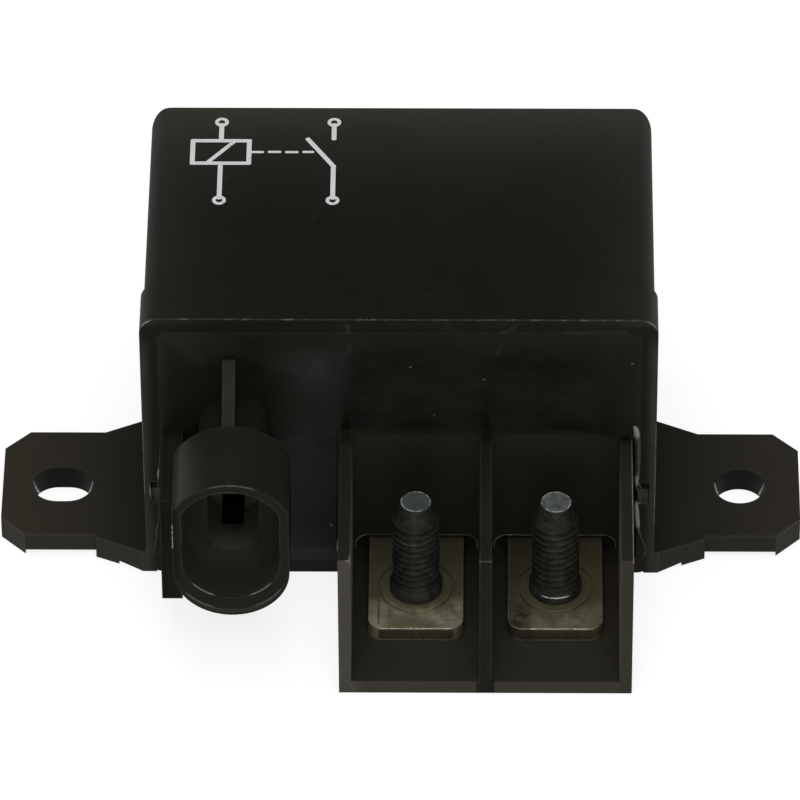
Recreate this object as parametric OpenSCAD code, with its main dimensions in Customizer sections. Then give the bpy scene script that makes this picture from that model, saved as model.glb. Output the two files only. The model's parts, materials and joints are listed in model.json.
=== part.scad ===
// Sealed power relay with two load studs, a coil plug socket and fixing ears.
// Origin: midway between the two fixing holes, on the mounting plane.
// +X runs along the ears to the round hole, -Y is the terminal side, +Z is up along the studs.
// All sizes are in millimetres.

/* [Housing] */
// Width of the housing behind its front rim
box_w = 64.1; // [58:0.1:76]
// Height of the housing behind its front rim
box_h = 42.5; // [38:0.1:56]
// Depth of the housing from the rim face to the back
box_d = 41.7; // [38:0.1:60]
// Wall of the housing, and floor of the terminal tray
wall = 1.9; // [1.4:0.1:2.4]
// Radius of the long edges of the housing
edge_r = 2.0; // [1:0.1:3]
// Radius of the upright corners at the back
back_r = 2.6; // [1:0.1:4]
// Length of the proud band behind the rim face
rim_len = 6.8; // [3:0.1:9]
// How far the band stands proud of the housing
rim_proud = 0.4; // [0.2:0.1:0.8]
// Distance from the line of the fixing holes to the rim face
rim_setback = 12.65; // [11:0.05:15]

/* [Fixing ears] */
// Distance from the side of the housing to the centre of a fixing hole
hole_out = 11.55; // [9:0.05:16]
// Distance from the centre of a fixing hole to the tip of its ear
ear_tip = 7.7; // [6:0.1:10]
// Length of the straight outer part of an ear, front to back
ear_len = 19.4; // [15:0.1:22]
// Offset of the middle of the ears behind the hole line
ear_shift = 0.3; // [0:0.1:1]
// Thickness of the ears
ear_t = 3.5; // [2.5:0.1:5]
// Corner cut of the ears
ear_cut = 3.2; // [1:0.1:4]
// Diameter of the round hole in the right ear
hole_d = 6.5; // [5:0.1:7.5]
// Length of the slot in the left ear
slot_len = 7.8; // [7.6:0.1:9]
// Height of the step under the front edge of the ears
relief_h = 0.8; // [0.4:0.1:1.2]

/* [Terminal tray] */
// Width over the outer barrier walls
tray_w = 36.9; // [34:0.1:40]
// How far the tray stands out of the rim face
tray_reach = 22.35; // [18:0.05:28]
// Height of the barrier walls over the mounting plane
barrier_h = 22.6; // [19:0.1:30]
// Thickness of the barrier walls
barrier_t = 1.55; // [1.2:0.05:2]
// Distance from the rim face to the stud centres
stud_reach = 6.95; // [6:0.05:9]

/* [Load terminals] */
// Width of the bus bars
bar_w = 12.0; // [10:0.1:13]
// Thickness of the bus bars
bar_t = 2.0; // [1.5:0.1:2.6]
// Distance from the stud centre to the free end of the bar
bar_end = 7.75; // [6.5:0.05:10]
// Corner radius of the free end of the bar
bar_r = 1.8; // [0.5:0.1:3]
// Thread diameter of the studs
stud_d = 6.0; // [5:1:6]
// Height of the studs over the bar
stud_h = 14.7; // [12:0.1:16]
// Diameter of the flat tip of the studs
tip_d = 4.2; // [3:0.1:4.8]
// Length of the tapered tip of the studs
tip_h = 2.4; // [1:0.1:3.4]
// Diameter of the ring stamped in the bar round the stud
ring_d = 9.8; // [8.4:0.1:11]

/* [Coil plug socket] */
// Width of the plug shroud
shroud_w = 14.6; // [12:0.1:15]
// Height of the lowest point of the shroud
shroud_low = 8.9; // [7:0.1:12]
// Height of the highest point of the shroud
shroud_top = 31.4; // [28:0.1:34]
// Length of the wide part of the shroud
shroud_len = 11.0; // [9:0.1:13]
// How far the mouth of the shroud stands out of the rim face
shroud_reach = 18.2; // [15:0.1:22]
// Wall of the shroud
shroud_wall = 1.2; // [0.9:0.1:1.6]
// Width of the narrow neck behind the wide part
neck_w = 8.9; // [7.5:0.1:10]
// Distance from the left side of the housing to the middle of the socket
socket_in = 11.15; // [9:0.05:14]
// Depth of the coil pin tips behind the mouth of the shroud
pin_recess = 8.0; // [2:0.1:12]
// Distance between the two coil pins
pin_pitch = 6.0; // [5:0.1:8]
// Width of a coil pin
pin_w = 2.8; // [2:0.1:3.4]
// Thickness of a coil pin
pin_t = 0.8; // [0.6:0.1:1]

/* [Base plate] */
// Depth of the plate behind the rim face
plate_recess = 2.0; // [1.2:0.1:3]
// Thickness of the plate
plate_t = 2.5; // [2:0.1:3.5]
// Width of the gap that the resin fills
resin_gap = 1.4; // [1:0.1:2]
// Thickness of the resin
resin_t = 1.7; // [1.2:0.1:2]

/* [Magnet and contacts] */
// Angle through which the armature closes
swing = 5.5; // [4:0.1:6]
// Thickness of the armature
armature_t = 2.4; // [1.8:0.1:3]
// Thickness of the yoke
yoke_t = 3.0; // [2:0.1:4]
// Height of the contacts over the mounting plane
contact_z = 13.0; // [12:0.1:14]
// Diameter of the contact rivets
contact_d = 6.0; // [4:0.1:7]
// Height of the contact rivet heads
contact_t = 1.0; // [0.6:0.1:1.4]
// Thickness of the contact bridge
bridge_t = 1.5; // [1:0.1:2]
// Height of the contact bridge
bridge_h = 6.2; // [5:0.1:7]
// Travel of the bridge in its carrier as the contacts close
overtravel = 0.5; // [0.3:0.1:0.8]

/* [Hidden] */
$fn = 48;

// Clearances
fit = 0.05;
play = 0.1;
gap = 0.3;
over = 1;

// Housing
rim_y = -rim_setback;
back_y = rim_y + box_d;
cav_half = box_w / 2 - wall;
cav_top = box_h - wall;
cav_back = back_y - wall;
mouth_r = 1.2;
pocket_w = 1.5;
pocket_z = 11.85;
pocket_h = 3.6;
pocket_depth = 0.8;

// Ears
hole_pitch = box_w + 2 * hole_out;
ear_end = hole_pitch / 2 + ear_tip;
slot_w = hole_d - 0.05;
ear_y0 = ear_shift - ear_len / 2;
ear_y1 = ear_shift + ear_len / 2;
flare_root = 0.85;
flare_front = 6.95;
flare_back = 6.35;
flare_back_y = 3.0;
relief_w = 0.75;
pad_step = 0.55;
pad_w = 3.0;
pad_notch = 0.55;

// Base plate and resin
plate_y = rim_y + plate_recess;
plate_back = plate_y + plate_t;
plate_half = cav_half - resin_gap;
plate_low = wall + resin_gap;
plate_top = cav_top - resin_gap;
resin_y = plate_y + 0.1;

// Tray
tray_in = 2.65;
tray_right = box_w / 2 - tray_in;
tray_left = tray_right - tray_w;
tray_x = (tray_left + tray_right) / 2;
tray_y = rim_y - tray_reach;
bay_step = (tray_w - barrier_t) / 4;
left_x = tray_x - bay_step;
right_x = tray_x + bay_step;
notch_end = plate_y + 1.2;
arch_half = bar_w / 2 + 1.7;
arch_top = wall + bar_t + 0.7;
arch_r = 1.5;
arch_depth = 1.0;

// Studs and bars
stud_y = rim_y - stud_reach;
bar_front = stud_y - bar_end;
bar_top = wall + bar_t;
stud_r = stud_d / 2;
stud_top = bar_top + stud_h;
collar_d = stud_d + 0.7;
collar_h = 1.6;
head_d = stud_d + 3.5;
head_t = 1.4;
tip_base = stud_r - 0.3;
tip_step = 0.3;
tip_round = 0.2;
ring_w = 0.35;
ring_depth = 0.3;

// Socket
rib_shift = 0.4;
rib_over = 4.8;
key_short = 5.2;
key_rise = 3.85;
neck_drop = 1.9;
socket_x = -box_w / 2 + socket_in;
rib_x = socket_x - rib_shift;
mouth_y = rim_y - shroud_reach;
shroud_half = shroud_w / 2;
shroud_arc = shroud_half + 0.7;
neck_half = neck_w / 2;
neck_top = shroud_top - neck_drop;
neck_low = shroud_low + 0.3;
neck_cut = neck_half - shroud_wall;
socket_z = (shroud_low + shroud_top) / 2;
wide_end = mouth_y + shroud_len - shroud_wall;
neck_end = plate_y - 1.5;
pin_tip = mouth_y + pin_recess;
rib_t = 1.6;
rib_top = shroud_top + rib_over;
rib_run = 7.4;
lip_t = 0.6;
lip_rise = 1.5;
bore_rise = 2.4;
key_left = -cav_half + 0.25;
key_right = socket_x - shroud_half + 0.9;
key_reach = shroud_reach - key_short;
key_low = shroud_low - 1.5;
key_top = socket_z + key_rise;

// Deck that carries the magnet
deck_left = -cav_half + gap;
deck_y = resin_y + resin_t;
deck_right = left_x - bar_w / 2 - 0.6;
deck_top = wall + 2.6;

// Magnet
leg_drop = 4.1;
coil_room = 5.4;
lug_back = 14;
leg_top = cav_top - leg_drop;
leg_low = leg_top - yoke_t;
arm_low = contact_z - 4;
arm_top = leg_top + 3.6;
swing_room = (leg_top - arm_low) * sin(swing);
arm_back = plate_back + 0.9 + armature_t + swing_room;
pole_y = arm_back + play;
yoke_back = cav_back - gap;
yoke_y = yoke_back - yoke_t;
flange_left = -cav_half + 2.15;
flange_right = deck_right - 0.5;
flange_w = flange_right - flange_left;
coil_x = (flange_left + flange_right) / 2;
flange_h = min(flange_w, leg_low - deck_top - coil_room);
coil_z = leg_low - 0.8 - flange_h / 2;
flange_t = 1.5;
winding_r = min(flange_w, flange_h) / 2 - 1;
core_r = winding_r * 0.4;
tube_r = core_r + 1.1;
shoe_r = winding_r * 0.6;
shoe_t = 1.5;
bobbin_y = pole_y + shoe_t + fit;
bobbin_end = yoke_y - fit;
arm_half = flange_w / 2 - 1.5;
spigot_r = core_r * 0.7;
flange_r = 1.5;

// Stop that the open armature leans on
stop_w = 6.0;
stop_h = 1.6;
stop_z = arm_low + 1;
stop_drop = leg_top - stop_z;
stop_y = arm_back - armature_t / cos(swing) - stop_drop * tan(swing) - play;

// Contacts, placed as they stand when closed
block_t = 2.0;
spring_len = 2.6;
bridge_y = arm_back + block_t + spring_len;
fixed_y = bridge_y + bridge_t + contact_t + fit;
upturn_y = fixed_y + contact_t;
upturn_top = contact_z + contact_d / 2 + 1;
rivet_r = contact_d / 4;
hook_y = bridge_y + overtravel + bridge_t + fit;
hook_t = 1.2;
prong_half = 2.2;
prong_t = 1.5;
bridge_half = bay_step + contact_d / 2 + 1.5;
bridge_r = 1.5;
peg_r = 0.9;
peg_step = 1.8;
peg_root = 0.5;
block_w = 8.0;
arm_reach = 3.5;
arm_h = 8.0;
hook_h = 1.0;
coil_r = 2.2;
coil_wire = 0.35;

// Springs
pull_z = leg_top + 2.1;
pull_wire = 0.25;
pull_r = 1.5;
lug_y = arm_back + lug_back;
lug_t = 1.2;
lug_w = 5.0;
tail_half = 4.0;
tail_hole_r = 0.8;
pull_start = 2.0;
pull_end = 1.2;
bar_pin = 2.6;
tail_front = arm_back - armature_t * cos(swing) + (pull_z - leg_top) * sin(swing);

// Tones used while drawing
shell_tone = [0.10, 0.10, 0.09];
base_tone = [0.12, 0.12, 0.10];
resin_tone = [0.16, 0.17, 0.13];
brass_tone = [0.62, 0.56, 0.36];
steel_tone = [0.55, 0.56, 0.58];
iron_tone = [0.45, 0.46, 0.48];
silver_tone = [0.80, 0.80, 0.78];
copper_tone = [0.72, 0.42, 0.25];
cream_tone = [0.85, 0.82, 0.72];

// Extrudes a profile drawn in X and Z along +Y
module along_y(start, length) {
    translate([0, start + length, 0])
        rotate([90, 0, 0])
            linear_extrude(height = length)
                children();
}

// Extrudes a profile drawn in Y and Z along +X
module along_x(start, length) {
    translate([start, 0, 0])
        rotate([90, 0, 90])
            linear_extrude(height = length)
                children();
}

// Rectangle with four round corners, centred in X and standing on the axis
module round_rect(width, height, radius) {
    translate([-width / 2 + radius, 0])
        square([width - 2 * radius, height]);
    translate([-width / 2, radius])
        square([width, height - 2 * radius]);
    for (sx = [-1, 1])
        for (cy = [radius, height - radius])
            translate([sx * (width / 2 - radius), cy])
                circle(r = radius);
}

// Upright slot shape with round ends, centred in X
module upright_slot(half, low, top) {
    translate([-half, low + half])
        square([2 * half, top - low - 2 * half]);
    translate([0, low + half])
        circle(r = half);
    translate([0, top - half])
        circle(r = half);
}

// Turns closed contact parts back to the open rest position
module swung_open() {
    translate([0, arm_back, leg_top])
        rotate([-swing, 0, 0])
            translate([0, -arm_back, -leg_top])
                children();
}

// Pushes the bridge parts forward to their stop in the carrier
module sprung_forward() {
    swung_open()
        translate([0, overtravel, 0])
            children();
}

// Plan of the box with its two upright back corners rounded
module box_plan() {
    half = box_w / 2;
    translate([-half - over, rim_y - over])
        square([box_w + 2 * over, box_d - back_r + over]);
    translate([-half + back_r, rim_y])
        square([box_w - 2 * back_r, box_d]);
    for (sx = [-1, 1])
        translate([sx * (half - back_r), back_y - back_r])
            circle(r = back_r);
}

// Plan of the right ear with its cut corners and its flares to the box
module ear_plan() {
    inner = box_w / 2 - wall / 2;
    side = box_w / 2;
    tip = ear_end;
    polygon([
        [inner, rim_y],
        [side + flare_root, rim_y],
        [side + flare_front, ear_y0 - pad_step],
        [side + flare_front, ear_y0],
        [tip - ear_cut, ear_y0],
        [tip, ear_y0 + ear_cut],
        [tip, ear_y1 - ear_cut],
        [tip - ear_cut, ear_y1],
        [side + flare_back, ear_y1],
        [side, ear_y1 + flare_back_y],
        [inner, ear_y1 + flare_back_y]
    ]);
}

// Right ear without its hole, with the pad that its front edge stands on
module ear() {
    root = box_w / 2 + flare_root;
    pad_out = box_w / 2 + flare_front;
    pad_in = pad_out - pad_w;
    slope = (ear_y0 - pad_step - rim_y) / (pad_out - root);
    difference() {
        linear_extrude(height = ear_t)
            ear_plan();
        translate([pad_out, ear_y0 - over, -over])
            cube([ear_end - ear_cut - pad_out, relief_w + over, relief_h + over]);
        translate([0, 0, -over])
            linear_extrude(height = relief_h + over)
                polygon([
                    [root, rim_y - over],
                    [pad_in, rim_y - over],
                    [pad_in, rim_y + (pad_in - root) * slope + pad_notch],
                    [root, rim_y]
                ]);
    }
}

// Open-front box with rim band and ears
module housing() {
    color(shell_tone)
        difference() {
            union() {
                intersection() {
                    along_y(rim_y, box_d)
                        round_rect(box_w, box_h, edge_r);
                    translate([0, 0, -over])
                        linear_extrude(height = box_h + 2 * over)
                            box_plan();
                }
                along_y(rim_y, rim_len)
                    round_rect(box_w + 2 * rim_proud, box_h + rim_proud, edge_r + rim_proud);
                ear();
                mirror([1, 0, 0])
                    ear();
            }
            translate([-cav_half, rim_y + plate_recess - gap, wall])
                cube([2 * cav_half, cav_back - rim_y - plate_recess + gap, cav_top - wall]);
            along_y(rim_y - over, plate_recess + over)
                translate([0, wall])
                    round_rect(2 * cav_half, cav_top - wall, mouth_r);
            for (x = [-cav_half - pocket_w, cav_half - over])
                translate([x, rim_y - over, pocket_z])
                    cube([pocket_w + over, pocket_depth + over, pocket_h]);
            translate([tray_left - gap, rim_y - over, -over])
                cube([tray_w + 2 * gap, notch_end - rim_y + over, wall + 2 * over]);
            translate([hole_pitch / 2, 0, -over])
                cylinder(r = hole_d / 2, h = ear_t + 2 * over);
            translate([-hole_pitch / 2, 0, -over])
                linear_extrude(height = ear_t + 2 * over)
                    slot_plan();
        }
}

// Slot of the left ear
module slot_plan() {
    reach = (slot_len - slot_w) / 2;
    translate([-reach, -slot_w / 2])
        square([2 * reach, slot_w]);
    for (sx = [-1, 1])
        translate([sx * reach, 0])
            circle(r = slot_w / 2);
}

// Outline of the plug shroud, drawn in X and Z about its own middle line
module shroud_outline(inset, rise) {
    half = shroud_half - inset;
    arc = shroud_arc - inset;
    arc_z = shroud_top - shroud_arc;
    low_z = shroud_low + shroud_half + rise;
    side_z = arc_z + sqrt(arc * arc - half * half);
    translate([0, low_z])
        circle(r = half);
    translate([-half, low_z])
        square([2 * half, side_z - low_z]);
    intersection() {
        translate([0, arc_z])
            circle(r = arc);
        translate([-half, arc_z])
            square([2 * half, arc + over]);
    }
}

// Shroud, neck, gusset and key block as one solid
module shroud_body() {
    translate([socket_x, 0, 0]) {
        along_y(mouth_y, shroud_len)
            shroud_outline(0, lip_rise);
        along_y(mouth_y + lip_t, shroud_len - lip_t)
            shroud_outline(0, 0);
        along_y(mouth_y + shroud_len - over, plate_y - mouth_y - shroud_len + 2 * over)
            upright_slot(neck_half, neck_low, neck_top);
    }
    translate([rib_x, 0, 0])
        along_x(-rib_t / 2, rib_t)
            polygon([
                [plate_y + over, neck_top - over],
                [plate_y + over, rib_top],
                [rim_y, rib_top],
                [rim_y - rib_run, shroud_top - 0.1],
                [rim_y - rib_run, neck_top - over]
            ]);
    translate([key_left, rim_y - key_reach, key_low])
        cube([key_right - key_left, plate_y - rim_y + key_reach + fit, key_top - key_low]);
}

// Hollow of the plug socket
module shroud_hollow() {
    translate([socket_x, 0, 0]) {
        along_y(mouth_y - over, wide_end - mouth_y + over)
            shroud_outline(shroud_wall, bore_rise);
        along_y(wide_end - over, neck_end - wide_end + over)
            upright_slot(neck_cut, neck_low + shroud_wall, neck_top - shroud_wall);
    }
}

// Front view of the tray walls and floor, for the tray and for the resin round it
module tray_front() {
    translate([tray_left, 0])
        square([tray_w, plate_low]);
    for (x = [tray_left, tray_x - barrier_t / 2, tray_right - barrier_t])
        translate([x, 0])
            square([barrier_t, barrier_h]);
}

// Plate, tray, shroud and deck as one moulding
module terminal_base() {
    color(base_tone)
        difference() {
            union() {
                along_y(plate_y, plate_t)
                    translate([-plate_half, plate_low])
                        square([2 * plate_half, plate_top - plate_low]);
                along_y(plate_y, plate_t)
                    translate([tray_left, wall])
                        square([tray_w, resin_gap + over]);
                translate([tray_left, tray_y, 0])
                    cube([tray_w, notch_end - gap - tray_y, wall]);
                for (x = [tray_left, tray_x - barrier_t / 2, tray_right - barrier_t])
                    translate([x, tray_y, 0])
                        cube([barrier_t, plate_y + 0.5 - tray_y, barrier_h]);
                translate([deck_left, deck_y, wall])
                    cube([deck_right - deck_left, cav_back - gap - deck_y, deck_top - wall]);
                translate([coil_x - stop_w / 2, plate_back - over, stop_z])
                    cube([stop_w, stop_y - plate_back + over, stop_h]);
                shroud_body();
            }
            shroud_hollow();
            for (x = [left_x, right_x]) {
                translate([x, 0, 0])
                    along_y(plate_y - over, arch_depth + over)
                        arch();
                translate([x - bar_w / 2 - fit, plate_y - over, wall])
                    cube([bar_w + 2 * fit, plate_t + 2 * over, bar_t + fit]);
                translate([x, stud_y, wall - head_t])
                    cylinder(r = head_d / 2 + fit, h = head_t + over);
            }
            for (s = [-1, 1])
                translate([socket_x, neck_end - over, socket_z + s * pin_pitch / 2])
                    translate([-pin_w / 2 - fit, 0, -pin_t / 2 - fit])
                        cube([pin_w + 2 * fit, plate_back - neck_end + 2 * over, pin_t + 2 * fit]);
        }
}

// Opening in the plate over a bus bar
module arch() {
    translate([-arch_half, wall])
        square([2 * arch_half, arch_top - wall - arch_r]);
    translate([-arch_half + arch_r, wall])
        square([2 * (arch_half - arch_r), arch_top - wall]);
    for (sx = [-1, 1])
        translate([sx * (arch_half - arch_r), arch_top - arch_r])
            circle(r = arch_r);
}

// Poured ring between plate and housing
module sealing_resin() {
    color(resin_tone)
        along_y(resin_y, resin_t)
            difference() {
                translate([-cav_half, wall])
                    square([2 * cav_half, cav_top - wall]);
                translate([-plate_half, plate_low])
                    square([2 * plate_half, plate_top - plate_low]);
                tray_front();
            }
}

// Bar with its stud hole, stamped ring and turned-up inner end
module load_bar(x) {
    color(brass_tone)
        translate([x, 0, 0])
            difference() {
                union() {
                    translate([0, 0, wall])
                        linear_extrude(height = bar_t)
                            bar_plan();
                    translate([-bar_w / 2, upturn_y, wall])
                        cube([bar_w, bar_t, upturn_top - wall]);
                }
                translate([0, stud_y, wall - over])
                    cylinder(r = stud_r + fit, h = bar_t + 2 * over);
                translate([0, stud_y, bar_top - ring_depth])
                    difference() {
                        cylinder(r = ring_d / 2, h = ring_depth + over);
                        translate([0, 0, -over])
                            cylinder(r = ring_d / 2 - ring_w, h = ring_depth + 3 * over);
                    }
                translate([0, upturn_y - over, contact_z])
                    rotate([-90, 0, 0])
                        cylinder(r = rivet_r + fit, h = bar_t + 2 * over);
            }
}

// Plan of a bar with two round corners at its free end
module bar_plan() {
    half = bar_w / 2;
    translate([-half, bar_front + bar_r])
        square([bar_w, upturn_y + bar_t - bar_front - bar_r]);
    translate([-half + bar_r, bar_front])
        square([bar_w - 2 * bar_r, bar_r + over]);
    for (sx = [-1, 1])
        translate([sx * (half - bar_r), bar_front + bar_r])
            circle(r = bar_r);
}

// Stud turned from its head under the bar to its tapered tip
module load_stud(x) {
    color(steel_tone)
        translate([x, stud_y, 0])
            rotate_extrude()
                polygon([
                    [0, wall - head_t],
                    [head_d / 2, wall - head_t],
                    [head_d / 2, wall],
                    [stud_r, wall],
                    [stud_r, bar_top],
                    [collar_d / 2, bar_top],
                    [collar_d / 2, bar_top + collar_h * 0.6],
                    [stud_r, bar_top + collar_h],
                    [stud_r, stud_top - tip_h - tip_step],
                    [tip_base, stud_top - tip_h],
                    [tip_d / 2, stud_top - tip_round],
                    [tip_d / 2 - tip_round, stud_top],
                    [0, stud_top]
                ]);
}

// Contact rivet whose head faces along +Y or -Y
module fixed_contact(x) {
    color(silver_tone)
        translate([x, fixed_y, contact_z])
            rotate([-90, 0, 0]) {
                cylinder(r = contact_d / 2, h = contact_t);
                cylinder(r = rivet_r, h = contact_t + bar_t);
            }
}

// Contact rivet of the bridge
module moving_contact(x) {
    color(silver_tone)
        sprung_forward()
            translate([x, bridge_y, contact_z])
                rotate([-90, 0, 0]) {
                    translate([0, 0, bridge_t])
                        cylinder(r = contact_d / 2, h = contact_t);
                    cylinder(r = rivet_r, h = bridge_t + contact_t);
                }
}

// Bent iron yoke with its spring lug
module yoke() {
    color(iron_tone)
        difference() {
            union() {
                translate([coil_x - arm_half, yoke_y, deck_top])
                    cube([2 * arm_half, yoke_t, leg_top - deck_top]);
                translate([coil_x - arm_half, arm_back + fit, leg_low])
                    cube([2 * arm_half, yoke_back - arm_back - fit, yoke_t]);
                translate([coil_x - lug_w / 2, lug_y, leg_low])
                    cube([lug_w, lug_t, arm_top - leg_low]);
            }
            translate([coil_x, yoke_y - over, coil_z])
                rotate([-90, 0, 0])
                    cylinder(r = spigot_r + fit, h = yoke_t + 2 * over);
            translate([coil_x, lug_y - over, pull_z])
                rotate([-90, 0, 0])
                    cylinder(r = 2 * pull_wire, h = lug_t + 2 * over);
        }
}

// Round iron core with pole shoe and riveted tail
module core() {
    color(iron_tone)
        translate([coil_x, 0, coil_z])
            rotate([-90, 0, 0]) {
                translate([0, 0, pole_y])
                    cylinder(r = shoe_r, h = shoe_t);
                translate([0, 0, pole_y])
                    cylinder(r = core_r, h = yoke_y - pole_y);
                translate([0, 0, pole_y])
                    cylinder(r = spigot_r, h = yoke_back - pole_y);
            }
}

// Bobbin with two flanges
module bobbin() {
    color(cream_tone)
        difference() {
            union() {
                for (y = [bobbin_y, bobbin_end - flange_t])
                    translate([coil_x, 0, coil_z - flange_h / 2])
                        along_y(y, flange_t)
                            round_rect(flange_w, flange_h, flange_r);
                translate([coil_x, bobbin_y, coil_z])
                    rotate([-90, 0, 0])
                        cylinder(r = tube_r, h = bobbin_end - bobbin_y);
            }
            translate([coil_x, bobbin_y - over, coil_z])
                rotate([-90, 0, 0])
                    cylinder(r = core_r + fit, h = bobbin_end - bobbin_y + 2 * over);
        }
}

// Copper winding as one thick sleeve
module winding() {
    length = bobbin_end - bobbin_y - 2 * flange_t - 2 * fit;
    color(copper_tone)
        translate([coil_x, bobbin_y + flange_t + fit, coil_z])
            rotate([-90, 0, 0])
                difference() {
                    cylinder(r = winding_r, h = length);
                    translate([0, 0, -over])
                        cylinder(r = tube_r + fit, h = length + 2 * over);
                }
}

// Coil pin: blade in the socket, strip across the plate and strip back to the bobbin
module coil_pin(z) {
    strip = pin_w * 0.8;
    color(brass_tone) {
        translate([socket_x - pin_w / 2, pin_tip, z - pin_t / 2])
            cube([pin_w, plate_back + pin_t - pin_tip, pin_t]);
        translate([flange_left - pin_t, plate_back, z - strip / 2])
            cube([socket_x + pin_w / 2 - flange_left + pin_t, pin_t, strip]);
        translate([flange_left - pin_t, plate_back, z - strip / 2])
            cube([pin_t, bobbin_y + flange_t - plate_back, strip]);
    }
}

// Suppression resistor lying on the deck with its two leads
module resistor() {
    body_r = 1.3;
    body_l = 8;
    lead_r = 0.3;
    y0 = bobbin_y + flange_t / 2;
    y1 = bobbin_end - flange_t / 2;
    z0 = deck_top + body_r;
    top = coil_z - flange_h / 2;
    color(cream_tone) {
        translate([coil_x, (y0 + y1 - body_l) / 2, z0])
            rotate([-90, 0, 0])
                cylinder(r = body_r, h = body_l);
        translate([coil_x, y0, z0])
            rotate([-90, 0, 0])
                cylinder(r = lead_r, h = y1 - y0);
        for (y = [y0, y1]) {
            translate([coil_x, y, z0])
                cylinder(r = lead_r, h = top - z0);
            translate([coil_x, y, z0])
                sphere(r = lead_r);
        }
    }
}

// Hinged iron plate with its tail and its arm
module armature() {
    color(iron_tone)
        swung_open()
            difference() {
                along_y(arm_back - armature_t, armature_t) {
                    translate([coil_x - arm_half, arm_low])
                        square([2 * arm_half, leg_top - arm_low]);
                    translate([coil_x - tail_half, arm_low])
                        square([2 * tail_half, arm_top - arm_low]);
                    translate([coil_x, arm_low])
                        square([tray_x + arm_reach - coil_x, arm_h]);
                }
                translate([coil_x, arm_back - armature_t - over, pull_z])
                    rotate([-90, 0, 0])
                        cylinder(r = tail_hole_r, h = armature_t + 2 * over);
                for (s = [-1, 1])
                    translate([tray_x + s * peg_step, arm_back - armature_t - over, contact_z])
                        rotate([-90, 0, 0])
                            cylinder(r = peg_r + fit, h = armature_t + 2 * over);
            }
}

// Insulating block with two hooked prongs and two pegs
module carrier() {
    side = bridge_h / 2 + play;
    color(cream_tone)
        swung_open() {
            translate([tray_x - block_w / 2, arm_back, contact_z - side - prong_t])
                cube([block_w, block_t, 2 * (side + prong_t)]);
            for (s = [-1, 1])
                translate([tray_x + s * peg_step, arm_back - armature_t, contact_z])
                    rotate([-90, 0, 0])
                        cylinder(r = peg_r, h = armature_t + peg_root);
            for (z = [contact_z + side, contact_z - side - prong_t])
                translate([tray_x - prong_half, arm_back, z])
                    cube([2 * prong_half, hook_y + hook_t - arm_back, prong_t]);
            for (z = [contact_z + side - hook_h, contact_z - side])
                translate([tray_x - prong_half, hook_y, z])
                    cube([2 * prong_half, hook_t, hook_h]);
        }
}

// Copper bridge between the two contacts
module contact_bridge() {
    color(copper_tone)
        sprung_forward()
            difference() {
                translate([tray_x, 0, contact_z - bridge_h / 2])
                    along_y(bridge_y, bridge_t)
                        round_rect(2 * bridge_half, bridge_h, bridge_r);
                for (x = [left_x, right_x])
                    translate([x, bridge_y - over, contact_z])
                        rotate([-90, 0, 0])
                            cylinder(r = rivet_r + fit, h = bridge_t + 2 * over);
            }
}

// Contact spring drawn as four closed coils
module contact_spring() {
    span = spring_len + overtravel;
    step = (span - 2 * coil_wire) / 3;
    color(steel_tone)
        swung_open()
            translate([tray_x, arm_back + block_t, contact_z])
                rotate([-90, 0, 0])
                    for (i = [0:3])
                        translate([0, 0, coil_wire + i * step])
                            rotate_extrude()
                                translate([coil_r - coil_wire, 0])
                                    circle(r = coil_wire, $fn = 16);
}

// Return spring: close-wound body with a wire and a cross bar at each end
module return_spring() {
    front = tail_front - pull_wire * 1.3 - fit;
    rear = lug_y + lug_t + pull_wire * 1.3 + fit;
    y0 = arm_back + pull_start;
    y1 = lug_y - pull_end;
    color(steel_tone)
        translate([coil_x, 0, pull_z]) {
            rotate([-90, 0, 0]) {
                translate([0, 0, y0])
                    cylinder(r = pull_r, h = y1 - y0);
                translate([0, 0, front])
                    cylinder(r = pull_wire, h = rear - front);
            }
            for (y = [front, rear])
                translate([-bar_pin / 2, y, 0])
                    rotate([0, 90, 0])
                        cylinder(r = pull_wire * 1.3, h = bar_pin);
        }
}

housing();
terminal_base();
sealing_resin();
load_bar_left();
load_bar_right();
load_stud_left();
load_stud_right();
fixed_contact_left();
fixed_contact_right();
yoke();
core();
bobbin();
winding();
coil_pin_upper();
coil_pin_lower();
resistor();
armature();
carrier();
contact_bridge();
moving_contact_left();
moving_contact_right();
contact_spring();
return_spring();

// Left and right pieces of each pair
module load_bar_left() load_bar(left_x);
module load_bar_right() load_bar(right_x);
module load_stud_left() load_stud(left_x);
module load_stud_right() load_stud(right_x);
module fixed_contact_left() fixed_contact(left_x);
module fixed_contact_right() fixed_contact(right_x);
module moving_contact_left() moving_contact(left_x);
module moving_contact_right() moving_contact(right_x);
module coil_pin_upper() coil_pin(socket_z + pin_pitch / 2);
module coil_pin_lower() coil_pin(socket_z - pin_pitch / 2);
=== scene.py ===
# %% [markdown]
# # A sealed power relay
#
# The object is a black relay of the kind that switches a vehicle's main loads: a moulded box
# with two ears, two threaded studs between barrier walls and a plug socket for the coil.
# The solid parts come in first as a fixed frame. Every piece made here goes where they say.

import json
import math
from functools import reduce

import bmesh
import bpy
from mathutils import Matrix, Vector, noise


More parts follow.
